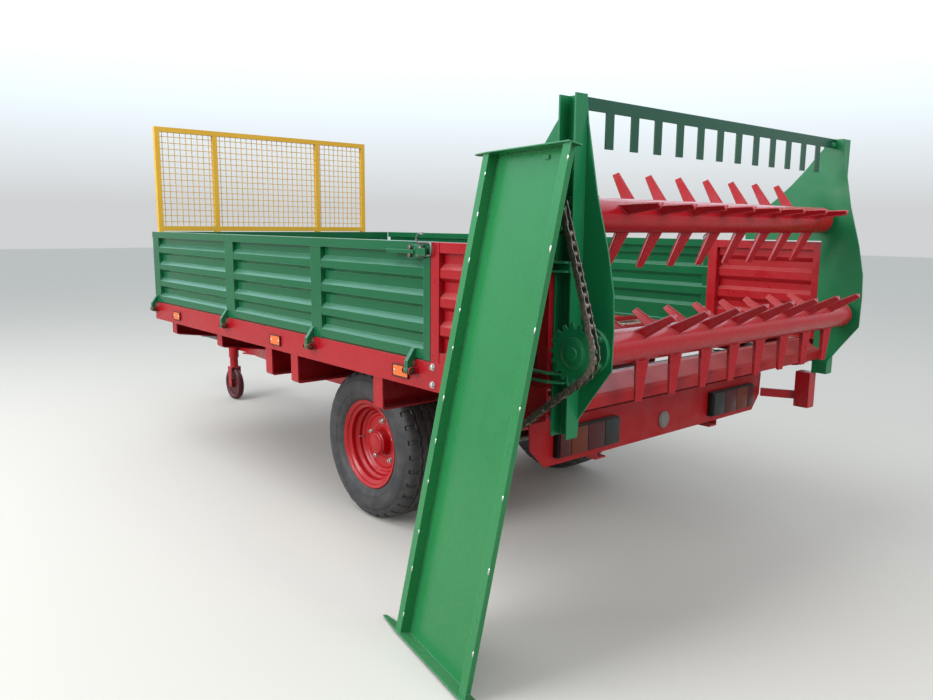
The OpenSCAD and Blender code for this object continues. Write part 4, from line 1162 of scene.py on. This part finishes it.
# %% Latch bails
BAIL = [
    (-962, -690, 1338), (-962, -766, 1338.5), (-962, -774, 1336), (-962, -777, 1329),
    (-962, -777, 1301), (-962, -774, 1294), (-962, -766, 1291.5), (-962, -690, 1290),
]
HOOK = [
    (-961, -690, 1338), (-962, -686, 1350), (-962, -690, 1361), (-962, -700, 1369),
    (-959, -714, 1373),
]
BAIL_R, HOOK_R = 4.5, 4
HOOK_CAP = [(10, 1368, 1375, 20, 8)]
HOOK_CAP_AT = (-957, -716, 0)
LATCH_BOLTS = [(-958, -646, 1318), (-958, -646, 1290), (-958, -712, 1316)]


def add_latch(side_name, mirror):
    drawn = bmesh.new()
    rod(drawn, BAIL, BAIL_R, (1, 0, 0), sides=8)
    rod(drawn, HOOK, HOOK_R, (1, 0, 0), sides=8)
    stamp(drawn, stacked(HOOK_CAP), Matrix.Translation(HOOK_CAP_AT))
    for place in LATCH_BOLTS:
        stamp(drawn, BOLT, Matrix.Translation(place) @ OUT_LEFT)
    bm = bmesh.new()
    stamp(bm, to_mesh(drawn), spot(0, 0, 0) @ Matrix.Scale(mirror, 4, (1, 0, 0)))
    body = "drop_side_" + side_name
    return piece("latch_bail_" + side_name, bm, [latch_steel], body, "side_green")


latches = [add_latch("left", 1), add_latch("right", -1)]
print("polygons of a latch bail:", len(latches[0].data.polygons))

# %% [markdown]
# The loose guard's seams are closed by short stitches of weld, which show as silvery beads. They
# vary a little in length and spacing, because a hand placed them. The guard leans and is turned, so
# the beads are placed in the tray's own axes, where the seams are straight, and moved with it.

# %% Stitch welds of the chain guard
GUARD_FOOT = (-1325.1, -1455, 0)
GUARD_TURN, GUARD_LEAN = 11.4, 11.5
GUARD_LENGTH, GUARD_WIDTH, GUARD_DEPTH = 1669, 486, 42
GUARD_LIP = 36
LAST_BEAD_ROOM = 60
BEAD_OUT, BEAD_ACROSS, BEAD_HALF = 2.6, 3.4, 9
HAND_SHIFT, HAND_LENGTH = 13, 2.5
# place across the tray, number of beads, and how far up the first one is
SEAMS = [(GUARD_WIDTH - GUARD_LIP, 11, 70), (1, 7, 150)]


def add_guard_welds():
    turn = Matrix.Rotation(math.radians(-GUARD_TURN), 4, "Z")
    lean = Matrix.Rotation(math.radians(GUARD_LEAN), 4, "Y")
    tray = spot(*GUARD_FOOT, turn @ lean)
    drawn = bmesh.new()
    bmesh.ops.create_uvsphere(drawn, u_segments=10, v_segments=6, radius=1)
    bead = to_mesh(drawn)
    bm = bmesh.new()
    for across, count, first in SEAMS:
        step = (GUARD_LENGTH - first - LAST_BEAD_ROOM) / (count - 1)
        for i in range(count):
            up = first + i * step + HAND_SHIFT * math.sin(i * 2.4)
            half = BEAD_HALF + HAND_LENGTH * math.sin(i * 1.7)
            size = Matrix.Diagonal((BEAD_OUT, BEAD_ACROSS, half, 1))
            stamp(bm, bead, tray @ Matrix.Translation((-GUARD_DEPTH, across, up)) @ size)
    return piece("guard_stitch_welds", bm, [zinc_steel], "chain_guard", "guard_green")


beads = add_guard_welds()
print("stitch welds on the guard:", sum(count for across, count, first in SEAMS))
print("polygons of the stitch welds:", len(beads.data.polygons))

# %% [markdown]
# The drawn shapes have been stamped and are no longer needed, so they are taken out of the file.

# %% Drawn shapes away, end
for mesh in [mesh for mesh in bpy.data.meshes if not mesh.users]:
    bpy.data.meshes.remove(mesh)
